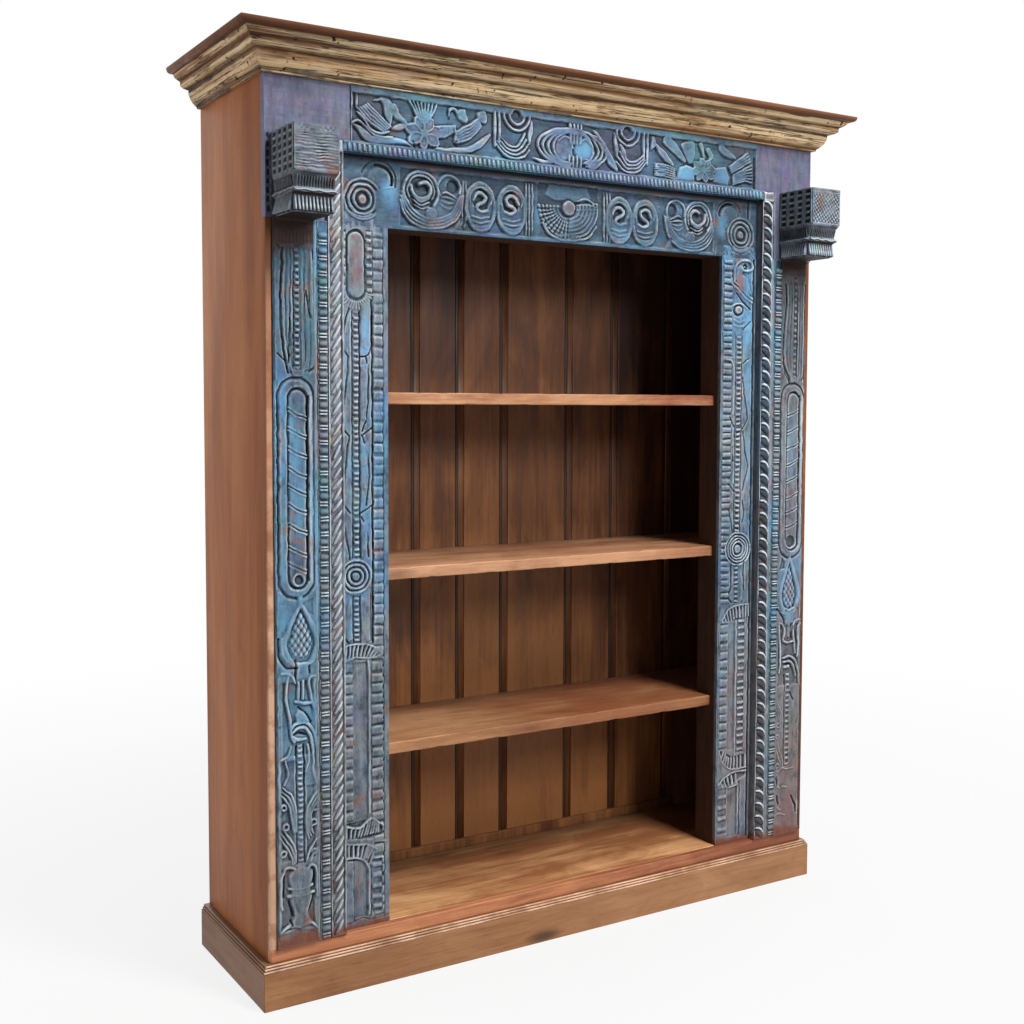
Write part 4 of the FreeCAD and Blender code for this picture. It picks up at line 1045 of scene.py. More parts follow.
# %% Right door post
post = panel("door_post_right", seed=12)
post.teeth(509, 541, 805, 1745, 17.5, 6, 0.85, 0.5)
post.groove((617, 140, 617, 1750), 8, 7)
post.groove((506, 140, 506, 1750), 3, 2)
post.level((541, 1700, 545, 1735, 562, 1750, 610, 1752, 612, 1640, 545, 1680), 0.5, 2)
post.level((548, 1698, 552, 1728, 566, 1736, 582, 1728, 574, 1712, 596, 1700, 610, 1655, 590, 1650,
    560, 1672), 3.6, 3, 1.2)
post.ridge((546, 1690, 547, 1718, 560, 1742, 588, 1750, 606, 1742, 610, 1728, 598, 1720, 580,
    1722), 8, 5.6)
post.groove(arc(586, 1731, 6, 0, 300), 7, 7)
post.ridge([(530, 1690, 560, 1668, 585, 1648, 611, 1634),
    (536, 1698, 564, 1676, 588, 1657, 611, 1645)], 6, 5.6)
post.groove([(541, 1718, 541, 1692), (556, 1658, 580, 1634, 606, 1616)], 5, 6)
post.level(arc(563, 1612, 19, squash=0.85), -2.5, 1.5)
post.level(arc(563, 1613, 14, squash=0.85), 4, 3, 1.5)
post.ridge([(541, 1624, 556, 1630, 576, 1628, 596, 1616), (548, 1586, 566, 1580, 584, 1586),
    (546, 1572, 566, 1568, 582, 1570)], 5, 5)
post.teeth(558, 575, 1000, 1545, 14, 5.2, 0.6)
post.groove([(555.5, 1000, 555.5, 1540), (577.5, 1000, 577.5, 1540)], 4, 4.5)
post.ridge([(520, 1478, 538, 1474, 547, 1455, 548, 1400, 546, 1330),
    (546, 1290, 548, 1220, 550, 1140)], 5.5, 5.2)
post.groove([(535, 1322, 552, 1294), (535, 1137, 556, 1116), (537, 1068, 552, 1004),
    (548, 1240, 547, 1200), (580, 1560, 606, 1582), (582, 1468, 600, 1482),
    (581, 1430, 590, 1370, 600, 1320, 582, 1288), (584, 1282, 592, 1230, 602, 1180, 584, 1118),
    (586, 1090, 592, 1060, 586, 1030)], 4.2, 5)
rosette(post, 570, 957, (13, 20, 28, 36, 45), 5)
post.teeth(558, 574, 806, 912, 13, 5, 0.6)
post.groove([(548, 912, 547, 850, 540, 835), (540, 822, 552, 808), (592, 920, 595, 840)], 5, 5.5)
post.level((580, 905, 594, 860, 590, 812, 578, 808), 3.6, 3, 1)
arch = (516, 760, 535, 788, 560, 798, 590, 801, 612, 800)
sill = (520, 756, 545, 752, 566, 764, 590, 764, 612, 766)
post.level((512, 756, 535, 790, 612, 800, 612, 762, 560, 756), -1.5, 2)
post.rungs(arch, sill, 10, 6, 4.6)
post.ridge(arch, 4.5, 5.4)
post.teeth(510, 540, 400, 755, 25, 6, 0.9, 0.55)
post.level(box_line(541, 566, 395, 756), 0.4, 2)
post.ridge((569, 756, 569, 380), 5, 5.4)
post.teeth(575, 600, 385, 760, 19, 5.2, 0.55)
post.groove((573, 385, 573, 758), 3, 4)
post.level((512, 400, 525, 362, 545, 340, 612, 330, 612, 378, 560, 376), -1.5, 2)
post.rungs((530, 392, 545, 374, 570, 372, 608, 374), (520, 372, 540, 348, 570, 342, 608, 342), 9,
    6, 4.6)
post.ridge((512, 398, 522, 368, 545, 344, 575, 338, 612, 338), 4.5, 5.2)
post.level((512, 312, 540, 326, 575, 332, 612, 328, 612, 316, 545, 290), -1.5, 2)
post.ridge((510, 300, 526, 314, 548, 326, 575, 330, 612, 328), 5, 5.4)
post.rungs((520, 304, 545, 318, 575, 322), (532, 282, 550, 294, 575, 298), 5, 6, 4.4)
post.level(box_line(543, 580, 150, 292), 0.3, 2)
post.ridge([(548, 288, 566, 292, 580, 296), (582, 155, 582, 296)], 4.5, 5)
post.groove((588, 150, 588, 300), 6, 6)
post.teeth(509, 541, 160, 290, 30, 5.2, 0.5)
post.stains("bare", (565, 1690, 20, 36, 0.8), (563, 1613, 15, 13, 1), (560, 600, 30, 110, 0.35),
    (580, 400, 100, 360, 0.3), (540, 430, 40, 120, 0.3))
post.stains("bright", (596, 1560, 18, 80, 1), (600, 1400, 14, 90, 0.8), (604, 1200, 12, 120, 0.7))
post.wear()
hang_panel("door_post_right", post, post_paint)

# %% [markdown]
# ## Left pilaster
#
# The wide outer board. From the top: a bare band in the bracket's shade, a fluted column with a
# beaded middle, a long round-ended frame with slanting cuts, a cross-hatched bud in a leaf cup,
# a ram's-horn scroll, a notched stem with curling leaves, and a vase on a bare foot.

# %% Left pilaster
def cartouche(c, low_x, high_x, low_z, high_z, slot_low, slot_high, slashes, drop):
    """A round-ended frame round a slot that is crossed by slanting cuts."""
    c.level(oblong(low_x - 3, high_x + 3, low_z - 4, high_z + 4), -2, 2)
    c.level(oblong(low_x, high_x, low_z, high_z), 3, 5, 2.2)
    c.level(oblong(slot_low - 4, slot_high + 4, low_z + 18, high_z - 20), -3.5, 3)
    c.level(oblong(slot_low, slot_high, low_z + 24, high_z - 26), 1.8, 3, 0.8)
    for z in slashes:
        line = (slot_high - 1, z, (slot_low + slot_high) / 2, z - drop * 0.62, slot_low + 1,
            z - drop)
        c.groove(pairs(line) - (0, 3.5), 4, 3)
        c.ridge(line, 4, 4.4)
        c.ridge(pairs(line) - (0, 7.5), 4, 4.2)


def bud(c, x, tip, bottom, half):
    """A hatched bud with a dark groove, in a leaf cup."""
    middle = bottom + (tip - bottom) * 0.32
    outline = smooth_line((x, tip, x + half * 0.62, (tip + middle) / 2, x + half, middle,
        x + half * 0.55, bottom + 5, x, bottom, x - half * 0.55, bottom + 5, x - half, middle,
        x - half * 0.62, (tip + middle) / 2), True)
    centre = np.array([x, (tip + bottom) / 2])
    c.level(centre + (outline - centre) * 1.18, -0.8, 3)
    c.level(outline, 2.4, 5, 2.6)
    c.hatch(outline, 12, 34, 3)
    c.hatch(outline, 12, 146, 2.6)
    for turn in (-1, 1):
        c.ridge((x + turn * 3, tip + 12, x + turn * half * 0.9, (tip + middle) / 2 + 6,
            x + turn * (half + 11), middle, x + turn * half * 0.8, bottom - 8, x + turn * 4,
            bottom - 12), 13, 5.2, 0.3)


def fluted_column(c, x, low_z, high_z, outer, inner, pitch):
    """Tapered flutes on both sides of a beaded stem."""
    outer, inner = pairs(outer), pairs(inner)
    c.level(np.vstack([outer, inner[::-1]]), 3.2, 4, 1)
    c.groove([outer, inner], 5.5, 6)
    for share in (0.3, 0.58, 0.82):
        for edge in (outer, inner):
            c.groove(edge + ((x, 0) - edge) * (share, 0), 3.4, 3.2)
    c.teeth(x - 6, x + 6, low_z + 22, high_z, pitch, 5.4, 0.62)
    c.groove((x + 8, low_z + 22, x + 8, high_z - 60), 4, 5)
    c.ribs((x + 20, low_z + 32, x + 10, low_z + 14, x - 12, low_z + 14, x - 20, low_z + 32),
        (x + 14, low_z + 20, x + 8, low_z + 4, x - 10, low_z + 4, x - 16, low_z + 20), 3, 4.5, 4.6)


board = panel("pilaster_left", seed=21)
fluted_column(board, 736, 1412, 1700, (769, 1690, 770, 1640, 774, 1560, 767, 1470, 757, 1420),
    (696, 1690, 694, 1610, 692, 1520, 692, 1440, 708, 1424), 14.5)
board.groove([(714, 1600, 708, 1560, 702, 1540), (782, 1462, 764, 1446), (752, 1540, 756, 1440),
    (775, 1690, 784, 1700)], 4, 5)
board.level(box_line(695, 788, 1700, 1755), 1, 4)
board.hatch(box_line(700, 780, 1702, 1730), 8, 0, 2)
cartouche(board, 697, 782, 921, 1410, 714, 758, (1344, 1302, 1259, 1215, 1176, 1135, 1090, 1040,
    1004), 20)
board.groove((711, 1370, 711, 960), 6, 6)
board.level(arc(735, 962, 16), -2, 2)
board.ridge(arc(735, 962, 13), 5, 5.2, smooth=False)
board.groove((783, 1400, 783, 940), 4, 3)
board.level((700, 922, 727, 912, 727, 893, 700, 880), 0.5, 3)
board.ridge((732, 922, 732, 888), 13, 5)
bud(board, 731, 892, 785, 29)
board.ridge((775, 835, 774, 800, 758, 778, 732, 773, 704, 778, 692, 800), 7, 5.4)
board.groove((784, 835, 782, 795, 764, 768, 742, 765), 6, 6)
board.level(box_line(714, 742, 740, 778), 3.8, 3, 1)
board.groove((744, 782, 745, 735), 6, 6)
board.groove((711, 770, 711, 752), 5, 5)
board.level(box_line(702, 778, 565, 738), -0.5, 5)
board.ridge([(779, 756, 762, 755, 750, 745, 745, 733), (690, 740, 700, 744, 712, 738, 709, 700,
    698, 660, 697, 615), (699, 738, 700, 700, 690, 650), (762, 750, 768, 700, 758, 650, 755, 615,
    748, 600), (745, 690, 725, 685, 706, 685), (727, 735, 728, 695), (738, 735, 739, 695)], 7, 5.4,
    0.15)
board.level((748, 660, 738, 672, 722, 668, 710, 640, 745, 640), 3.5, 4, 1.2)
board.groove((738, 676, 722, 664, 708, 640), 5, 5)
board.ridge([(757, 628, 745, 640, 722, 640, 704, 622, 696, 590, 695, 540),
    (755, 616, 742, 604, 722, 604), (752, 622, 738, 630, 722, 628, 710, 610, 704, 580, 703, 530,
    692, 495)], 7.5, 5.6, 0.2)
board.groove((750, 616, 735, 618, 722, 614), 8, 6, 0.5)
board.teeth(728, 741, 322, 592, 12.5, 5.2, 0.6)
board.groove([(743.5, 322, 743.5, 590), (725.5, 322, 725.5, 590)], 4.5, 6)
board.level(box_line(746, 782, 330, 560), -0.5, 5)
board.level(box_line(697, 723, 330, 500), -0.5, 5)
board.ribs((776, 500, 756, 478, 746, 440, 745, 395), (780, 482, 764, 462, 756, 430, 752, 395), 3,
    6, 5.4)
board.ribs((779, 408, 762, 385, 748, 355, 746, 325), (783, 385, 770, 365, 758, 342, 754, 322), 3,
    6, 5.4)
board.ribs((690, 488, 706, 468, 720, 440, 720, 400, 714, 374),
    (690, 470, 700, 450, 710, 430, 708, 400, 704, 385), 3, 6, 5.4)
board.ribs((697, 372, 712, 350, 722, 325), (694, 355, 704, 340, 712, 322), 2, 6, 5.2)
for x, z in ((775, 455), (770, 410), (776, 350), (700, 445), (703, 412), (702, 345)):
    board.ridge(arc(x, z, 6, 0, 300), 5, 5.4)
board.ridge([(770, 560, 764, 530, 772, 505), (756, 590, 764, 570, 780, 562),
    (716, 590, 714, 560, 722, 530)], 6, 5, 0.3)
board.level(box_line(700, 783, 172, 316), -1, 4)
board.level(smooth_line((766, 300, 760, 262, 764, 240, 754, 205, 764, 176, 706, 176, 716, 205, 706,
    240, 710, 262, 704, 300, 735, 318), True), 3.4, 5, 1.2)
board.ridge([(779, 300, 770, 316, 752, 314, 744, 298), (722, 300, 712, 314, 700, 308, 696, 280,
    697, 240), (780, 296, 783, 260, 780, 225), (764, 268, 735, 264, 706, 268),
    (766, 252, 735, 249, 704, 252), (784, 170, 762, 184, 738, 178, 714, 183, 695, 168)], 7, 5.6,
    0.15)
board.groove([(763, 240, 755, 205), (707, 240, 716, 210), (760, 196, 756, 182),
    (774, 300, 776, 250), (704, 296, 702, 262)], 6, 6, 0.2)
board.ribs((742, 314, 742, 275), (728, 314, 728, 275), 3, 4, 5.2)
board.level((695, 133, 790, 133, 790, 164, 740, 174, 695, 160), 0.6, 3)
board.groove((789, 150, 789, 1750), 5, 4)
# Painted shade below the bracket, over the upper column
board.stains("dark", (736, 1580, 150, 260, 0.35))
board.stains("bare", (774, 1270, 10, 60, 0.5), (722, 1388, 14, 20, 0.6), (732, 830, 30, 60, 0.45),
    (703, 1300, 10, 60, 0.35))
board.stains("bright", (700, 1100, 14, 190, 0.9), (736, 1180, 22, 200, 0.6),
    (774, 900, 14, 200, 0.7), (735, 640, 50, 110, 0.6), (730, 850, 60, 130, 0.8))
board.wear()
hang_panel("pilaster_left", board, pilaster_paint)

# %% [markdown]
# ## Right pilaster
#
# The same ornament with other places and more wear: below the horn the leaves have nearly gone,
# and the foot is bare and pinkish.

# %% Right pilaster
board = panel("pilaster_right", seed=22)
fluted_column(board, 749, 1413, 1712, (786, 1690, 786, 1600, 785, 1520, 784, 1440, 776, 1424),
    (712, 1690, 716, 1640, 708, 1560, 706, 1480, 732, 1424), 17)
board.groove([(787, 1690, 787, 1520), (787, 1465, 787, 1400), (714, 1686, 715, 1640),
    (706, 1472, 716, 1440, 735, 1412)], 6, 6)
board.level(box_line(697, 788, 1712, 1755), 1, 4)
cartouche(board, 700, 787, 925, 1414, 724, 770, (1345, 1298, 1252, 1206, 1160, 1112, 1072, 1030),
    17)
board.groove((770, 1380, 770, 960), 6, 6)
board.level(arc(742, 968, 20), -1.5, 2)
board.ridge(arc(742, 972, 20, 180, 370), 6, 5.2)
board.level((712, 930, 727, 915, 724, 895, 700, 890), -1.5, 3)
board.ridge((742, 922, 742, 888), 12, 5)
bud(board, 742, 905, 780, 24)
board.ridge([(722, 782, 742, 776, 762, 782), (700, 786, 706, 774, 720, 768)], 6, 5.2)
board.groove((698, 782, 712, 768, 722, 750, 726, 738), 7, 6)
board.level(box_line(727, 760, 738, 772), 3.4, 3, 1)
board.groove((778, 780, 778, 752), 5, 5)
board.level(box_line(702, 786, 560, 738), -0.5, 5)
board.ridge([(704, 742, 718, 736, 726, 715, 722, 690, 740, 684, 760, 686),
    (704, 736, 708, 690, 712, 640, 706, 600), (786, 746, 766, 744, 758, 728, 762, 690, 768, 650),
    (784, 735, 776, 720, 779, 670, 775, 640), (742, 735, 742, 700),
    (722, 640, 745, 645, 766, 630, 780, 600, 786, 560), (728, 614, 744, 616),
    (724, 628, 745, 630, 762, 612, 770, 585)], 7, 5.4, 0.15)
board.groove([(742, 730, 742, 694), (758, 728, 754, 696)], 6, 5)
board.groove((730, 622, 746, 622, 756, 610), 6, 5, 0.4)
board.teeth(734, 748, 330, 600, 15, 4.4, 0.55)
board.groove((730, 330, 730, 590), 5, 5)
board.groove((751, 540, 764, 518), 6, 5)
board.ribs((703, 512, 716, 492, 724, 460, 724, 430), (700, 496, 708, 478, 714, 456, 712, 430), 3,
    6, 5)
board.ribs((706, 396, 716, 370, 724, 345, 725, 320), (702, 378, 710, 356, 716, 340, 716, 322), 2,
    6, 5)
board.ribs((776, 470, 762, 450, 758, 400), (784, 452, 772, 438, 768, 400), 2, 6, 3.6)
for x, z in ((706, 450), (704, 418), (706, 335)):
    board.ridge(arc(x, z, 6, 0, 300), 5, 5)
board.ridge([(702, 330, 706, 318, 722, 326, 740, 322, 768, 322), (706, 300, 704, 280, 716, 268),
    (726, 272, 744, 270), (706, 214, 720, 205), (692, 188, 712, 196, 736, 188)], 7, 4.6, 0.2)
board.groove([(706, 246, 712, 222), (762, 240, 776, 212, 780, 190), (704, 300, 706, 276)], 8, 6,
    0.3)
board.groove((789, 150, 789, 1750), 5, 4)
# Painted shade below the bracket, over the upper column
board.stains("dark", (742, 1620, 120, 300, 0.4))
board.stains("bare", (776, 1378, 12, 40, 1), (742, 830, 20, 50, 0.7), (742, 330, 60, 130, 0.45),
    (742, 200, 60, 90, 0.8))
board.stains("bright", (782, 940, 14, 110, 0.7), (740, 1230, 20, 120, 0.4),
    (742, 840, 60, 130, 0.8))
board.wear()
hang_panel("pilaster_right", board, pilaster_right_paint)

# %% [markdown]
# ## Lintel beam
#
# The lintel has a scalloped fan in the middle, two oval rosettes on either side of it and a
# crescent boat of scrolls towards each end. The ornaments that come twice are functions, and
# one of their arguments turns them over.

# %% Lintel beam
def oval_rosette(c, x, turn):
    """An oval with a hooked scroll in its eye and shell ribs below. turn mirrors the hook."""
    c.level(arc(x, 1823, 43.5, squash=1.42), 1, 7, 1.8)
    c.ridge(arc(x, 1823, 39, squash=1.42), 11, 5.4, smooth=False)
    c.ridge(arc(x, 1841, 30, -20, 200, 0.95), 5.5, 5)
    c.level(arc(x + 2 * turn, 1838, 23, squash=1.3), -4, 4)
    c.ridge((x - 20 * turn, 1838, x - 12 * turn, 1852, x + 2 * turn, 1856, x + 14 * turn, 1846,
        x + 8 * turn, 1834, x - 6 * turn, 1828, x - 10 * turn, 1818, x + 4 * turn, 1812,
        x + 20 * turn, 1816), 9, 5.6, 0.1)
    for z, half in ((1798, 24), (1787, 26), (1777, 20)):
        c.ridge((x - half, z + 3, x, z - 2, x + half, z + 3), 6, 4.8)


def boat(c, middle, turn):
    """A crescent of ribs that holds two scrolls and a bud. turn is 1 on the left."""
    def at(points):
        return pairs(points) * (turn, 1) + (middle, 0)

    c.level(at((-88, 1824, -72, 1784, -44, 1763, 0, 1757, 44, 1767, 76, 1796, 88, 1846, 66, 1882,
        0, 1890, -66, 1882)), 0.9, 7, 1.6)
    c.ribs(at((-84, 1822, -72, 1790, -44, 1769, -2, 1762, 44, 1774, 72, 1800, 84, 1846)),
        at((-76, 1850, -66, 1820, -40, 1795, -8, 1784, 34, 1792, 58, 1812, 72, 1842)), 4, 6.4, 5.6,
        0.2)
    x = middle - turn * 29
    c.level(arc(x, 1846, 46), -2.5, 4)
    c.ridge(arc(x, 1846, 45, -40, 220), 7.5, 5.6)
    c.ridge(arc(x, 1848, 35, -30, 210), 5, 4.6)
    c.level(arc(x + turn * 4, 1858, 24, squash=0.55), -6, 4)
    c.ridge(at((-56, 1858, -48, 1838, -28, 1828, -8, 1838, -4, 1856, -16, 1868, -34, 1862)), 9,
        5.6, 0.15)
    c.ribs(at((-52, 1836, -30, 1822, -6, 1832)), at((-46, 1814, -28, 1806, -8, 1812)), 3, 5, 4.8)
    c.level(arc(middle - turn * 2, 1797, 14), 3.5, 4, 2)
    c.ridge(arc(middle - turn * 2, 1797, 13), 4, 5.2, smooth=False)
    x = middle + turn * 46
    c.level(arc(x, 1860, 33), 0, 4)
    c.level(arc(x + turn * 10, 1864, 18), -6, 5)
    c.ridge(arc(x, 1860, 30, -20, 220), 6, 4.6)
    c.ribs(at((26, 1846, 40, 1850, 66, 1838)), at((22, 1820, 40, 1812, 60, 1820)), 4, 5, 4.8)


beam = panel("lintel_beam", seed=31, step=1.7)
beam.level(box_line(-470, 470, 1762, 1898), -0.8, 4)
beam.level((-470, 1895, 470, 1895, 470, 1914, -470, 1914), 2.5, 3)
for middle, turn in ((-386, 1), (386, -1)):
    boat(beam, middle, turn)
for x, turn in ((-255, 1), (-168, -1), (155, 1), (238, -1)):
    oval_rosette(beam, x, turn)
beam.ribs((-296, 1880, -292, 1835, -298, 1770), (-302, 1880, -304, 1835, -308, 1770), 2, 5, 4)
for x in (-118, 116):
    beam.ribs((x - 8, 1890, x - 8, 1765), (x + 10, 1890, x + 10, 1765), 3, 6.5, 4.4)
beam.level((-90, 1900, 90, 1900, 92, 1840, 78, 1790, 40, 1766, -40, 1766, -78, 1790, -92, 1840),
    -3, 4)
beam.level((-60, 1898, 60, 1898, 74, 1868, 40, 1856, -40, 1856, -74, 1868), 0.5, 5)
beam.level(arc(0, 1842, 93, 180, 372, 0.86), 1.2, 7, 2)
for radius in (32, 43, 54, 65, 76, 87):
    beam.ridge(arc(0, 1842, radius, 180, 270, 0.86), 6.5, 4.8)
    beam.ridge(arc(0, 1842, radius, 270, 372, 0.86), 6, 4.8)
for angle in range(186, 268, 9):
    direction = np.array([math.cos(math.radians(angle)), 0.86 * math.sin(math.radians(angle))])
    beam.groove(pairs([direction * r + (0, 1842) for r in (26, 90)]), 5, 5, smooth=False)
beam.ribs((24, 1860, 50, 1868, 84, 1856), (24, 1828, 50, 1826, 88, 1838), 4, 4.5, 4.8)
beam.ridge((-78, 1800, -60, 1776, -30, 1764, 0, 1762, 30, 1764, 62, 1776, 84, 1800), 7, 5.4)
for x in range(-28, 30, 11):
    beam.ridge(arc(x, 1768, 6, 0, 180), 4.5, 5.2)
beam.level(arc(0, 1841, 24), -3, 2)
beam.level(arc(0, 1841, 21), 4.6, 3, 1.2)
for x in (-318, 318):
    beam.level((x - 14, 1764, x + 14, 1764, x + 8, 1796), 2.4, 3)
    beam.hatch(box_line(x - 14, x + 14, 1764, 1796), 5, 45, 2)
# Painted shadow of the drip ledge along the top: a dark stain, and a bare one under it that browns
# it
beam.stains("dark", (0, 1916, 2600, 22, 0.85))
beam.stains("bare", (0, 1910, 2600, 14, 0.6), (0, 1842, 22, 22, 0.5), (-378, 1775, 26, 16, 0.5),
    (300, 1768, 30, 14, 0.4))
beam.stains("bright", (-92, 1810, 12, 50, 0.7), (160, 1790, 40, 30, 0.4))
beam.wear(grain_up=False)
hang_panel("lintel_beam", beam, lintel_paint)

# %% [markdown]
# ## Lintel end blocks
#
# A short block at each end of the lintel carries a target of rings, with a plain disc that laps
# over it. On the real piece the left one has a frame beside it and the right one a split.

# %% Lintel end blocks
for node, seed in (("lintel_block_left", 32), ("lintel_block_right", 33)):
    block = panel(node, seed=seed, step=1.7)
    block.level((474, 1914, 623, 1914, 623, 1892, 474, 1892), 3, 3)
    block.groove(arc(524, 1861, 44, 20, 200), 6, 4)
    block.level(arc(524, 1861, 41), 1, 3)
    block.level(arc(524, 1861, 32), 3.4, 5, 1.2)
    block.groove(arc(524, 1861, 35, 75, 215), 8, 7, 0.4)
    block.level(arc(565, 1815, 52), -1.5, 2.5)
    for radius, width in ((22, 7), (34, 8), (46, 8)):
        block.ridge(arc(565, 1815, radius), width, 5.4, smooth=False)
    block.level(arc(565, 1815, 12), 3.8, 3, 1.4)
    if node.endswith("left"):
        block.level((474, 1756, 534, 1756, 534, 1820, 538, 1836, 500, 1846, 474, 1850), 3.2, 4,
            0.8)
        block.ridge((486, 1848, 505, 1844, 522, 1838), 5, 5)
    else:
        block.level((474, 1756, 504, 1756, 512, 1800, 506, 1846, 474, 1880), 3.2, 4, 0.8)
        block.ribs((536, 1763, 566, 1760, 596, 1764), (536, 1757, 566, 1756, 600, 1758), 2, 4, 4.6)
        block.groove([(472, 1800, 472, 1756), (592, 1914, 592, 1860)], 7, 6)
    # Painted shadow of the drip ledge along the top, and the right block darker all over
    block.stains("dark", (560, 1916, 600, 22, 0.85), (560, 1835, 400, 400,
        0 if node.endswith("left") else 0.3))
    block.stains("bare", (565, 1815, 16, 16, 0.8))
    block.stains("bright", (500, 1835, 26, 40, 0.8))
    block.wear(grain_up=False)
    hang_panel(node, block, lintel_paint)

# %% [markdown]
# ## Frieze
#
# Above the ledge runs a band of leaves: a flower with a stamen fan and two long leaves with
# ribbed wings at each side, hanging U shapes, and a horseshoe of ribs in the middle. The wings
# are sheaves of parallel ridges, which the rib tool makes from their two border lines.

# %% Frieze
frieze = panel("frieze_panel", seed=41, step=1.7, face=2.2)
frieze.level(box_line(-600, 600, 1938, 2046), -1.8, 4)
frieze.level(box_line(-602, 602, 2046, 2062), 3.2, 3)
frieze.groove((-600, 2044, 600, 2044), 3, 2)


def leaf(c, spine, widths, high=3.8):
    """A flat leaf along a line, with half widths at its points."""
    line = pairs(spine)
    along = np.gradient(line, axis=0)
    along /= np.linalg.norm(along, axis=1)[:, None] + 1e-9
    across = np.column_stack((-along[:, 1], along[:, 0])) * np.array(widths)[:, None]
    c.level(smooth_line(np.vstack([line + across, (line - across)[::-1]]), True), high, 3, 1.4)


def flower(c, x, z, petals, size, squash):
    """Petals with a double outline round a boss."""
    for number in range(petals):
        angle = math.radians(360 / petals * number + 12)
        direction = np.array([math.cos(angle), squash * math.sin(angle)])
        across = np.array([-direction[1], direction[0]])
        base, tip = np.array([x, z]) + direction * 8, np.array([x, z]) + direction * size
        middle = (base + tip) / 2
        outline = pairs([base, middle + across * size * 0.27, tip, middle - across * size * 0.27])
        c.level(smooth_line(outline, True), 2.2, 2.5, 1.2)
        c.ridge(outline, 4.4, 5, closed=True)
    c.level(arc(x, z, 9), 4.4, 3, 1.2)


leaf(frieze, (-600, 1977, -582, 1968, -560, 1952, -520, 1947, -480, 1950, -448, 1942),
    [1, 8, 13, 9, 8, 2])
frieze.ridge([(-600, 1978, -584, 1984, -568, 1974, -548, 1958, -520, 1955, -500, 1957),
    (-586, 2004, -570, 1990, -552, 1968, -530, 1962, -508, 1968)], 6, 5.4, 0.2)
frieze.groove((-590, 1978, -572, 1974, -550, 1955), 5, 4)
frieze.ribs((-560, 2024, -536, 2004, -504, 1980), (-584, 2012, -560, 1988, -522, 1966), 5, 6, 5.6,
    0.15)
leaf(frieze, (-530, 2040, -512, 2030, -508, 2005, -504, 1985), [4, 14, 12, 3], 3.4)
frieze.ridge((-544, 2034, -524, 2036, -506, 2026, -502, 2000, -506, 1984), 5, 5, 0.2)
frieze.ribs((-600, 2044, -600, 2010), (-587, 2042, -588, 2014), 2, 6, 5)
leaf(frieze, (-500, 2030, -484, 2005, -462, 1992), [10, 10, 4], 2.6)
leaf(frieze, (-500, 1976, -480, 1982, -456, 1990), [3, 9, 3], 3.2)
flower(frieze, -418, 1975, 7, 50, 0.74)
frieze.ribs((-456, 2044, -440, 2018, -426, 1998), (-384, 2042, -398, 2016, -412, 1998), 8, 5.4, 5,
    0.3)
leaf(frieze, (-392, 1972, -372, 1978, -352, 1988, -336, 1992), [4, 12, 12, 8], 3.4)
frieze.ridge([(-385, 1992, -362, 1996, -336, 2000), (-337, 1996, -337, 1965),
    (-384, 1944, -330, 1946, -290, 1956, -262, 1978, -242, 1990),
    (-352, 2022, -350, 2036, -338, 2040, -330, 2030)], 6, 5.4, 0.15)
frieze.groove([(-341, 1994, -338, 1962, -330, 1956), (-350, 2030, -351, 2014),
    (-448, 1955, -440, 1940)], 4.5, 4)
leaf(frieze, (-386, 1942, -330, 1946, -288, 1954, -258, 1976, -240, 1990), [3, 8, 9, 8, 2], 3.6)
frieze.ribs((-338, 1986, -308, 2002, -276, 2024), (-330, 1964, -300, 1974, -266, 2008), 5, 5.6,
    5.6, 0.15)
leaf(frieze, (-322, 2040, -316, 2024, -304, 2014), [12, 14, 6], 3.2)
leaf(frieze, (-268, 2042, -262, 2026, -252, 2016), [12, 15, 5], 3.8)
for middle, turn in ((-178, 1), (178, -1)):
    frieze.ribs((middle - turn * 50, 2046, middle - turn * 50, 1968),
        (middle - turn * 38, 2046, middle - turn * 38, 1976), 2, 7, 5.4, 0.1)
    frieze.ribs((middle - turn * 46, 1972, middle - turn * 20, 1948, middle + turn * 20, 1944,
        middle + turn * 48, 1966), (middle - turn * 36, 1990, middle - turn * 12, 1972,
        middle + turn * 14, 1972, middle + turn * 34, 2004), 4, 6, 5.4, 0.25)
    frieze.ribs(arc(middle + turn * 12, 2046, 36, 180, 360),
        arc(middle + turn * 12, 2046, 22, 180, 360), 2, 6, 5, 0.1)
    frieze.level(arc(middle + turn * 12, 2046, 14), -5, 4)
    leaf(frieze, (middle + turn * 54, 2036, middle + turn * 50, 2010, middle + turn * 46, 1980),
        [3, 8, 4], 4)
frieze.ribs(arc(0, 1984, 106, 78, 262, 0.44), arc(0, 1984, 62, 78, 262, 0.62), 4, 7.2, 5.6, 0.1)
frieze.ribs(arc(0, 1984, 100, -60, 96, 0.46), arc(0, 1984, 60, -60, 96, 0.62), 4, 6.4, 5.6, 0.1)
frieze.level(arc(-28, 1982, 30, squash=1.1), 1.4, 5, 1.2)
frieze.level(arc(30, 1984, 30, squash=1), 1.4, 5, 1.2)
frieze.groove((-4, 1996, -2, 1972), 6, 5, 0.3)
frieze.groove(arc(26, 1988, 36, -10, 70), 7, 5, 0.3)
frieze.ridge([(-48, 1998, -30, 2010, -10, 2004, -4, 1986), (18, 2000, 34, 2010, 52, 2000)], 6, 4.8,
    0.2)
frieze.ribs((-12, 2042, -10, 1996), (22, 2042, 18, 1998), 4, 8, 5.6, 0.1)
frieze.ribs((-14, 1964, -14, 1939), (20, 1964, 20, 1939), 4, 7, 5.2, 0.1)
frieze.ribs((34, 1962, 56, 1958, 78, 1966), (36, 1944, 62, 1942, 84, 1956), 4, 4.6, 5.4)
leaf(frieze, (62, 2034, 92, 2000, 112, 1966, 132, 1944), [5, 9, 13, 5], 3.8)
leaf(frieze, (-62, 1944, -92, 1944, -118, 1950), [4, 6, 3], 3.4)
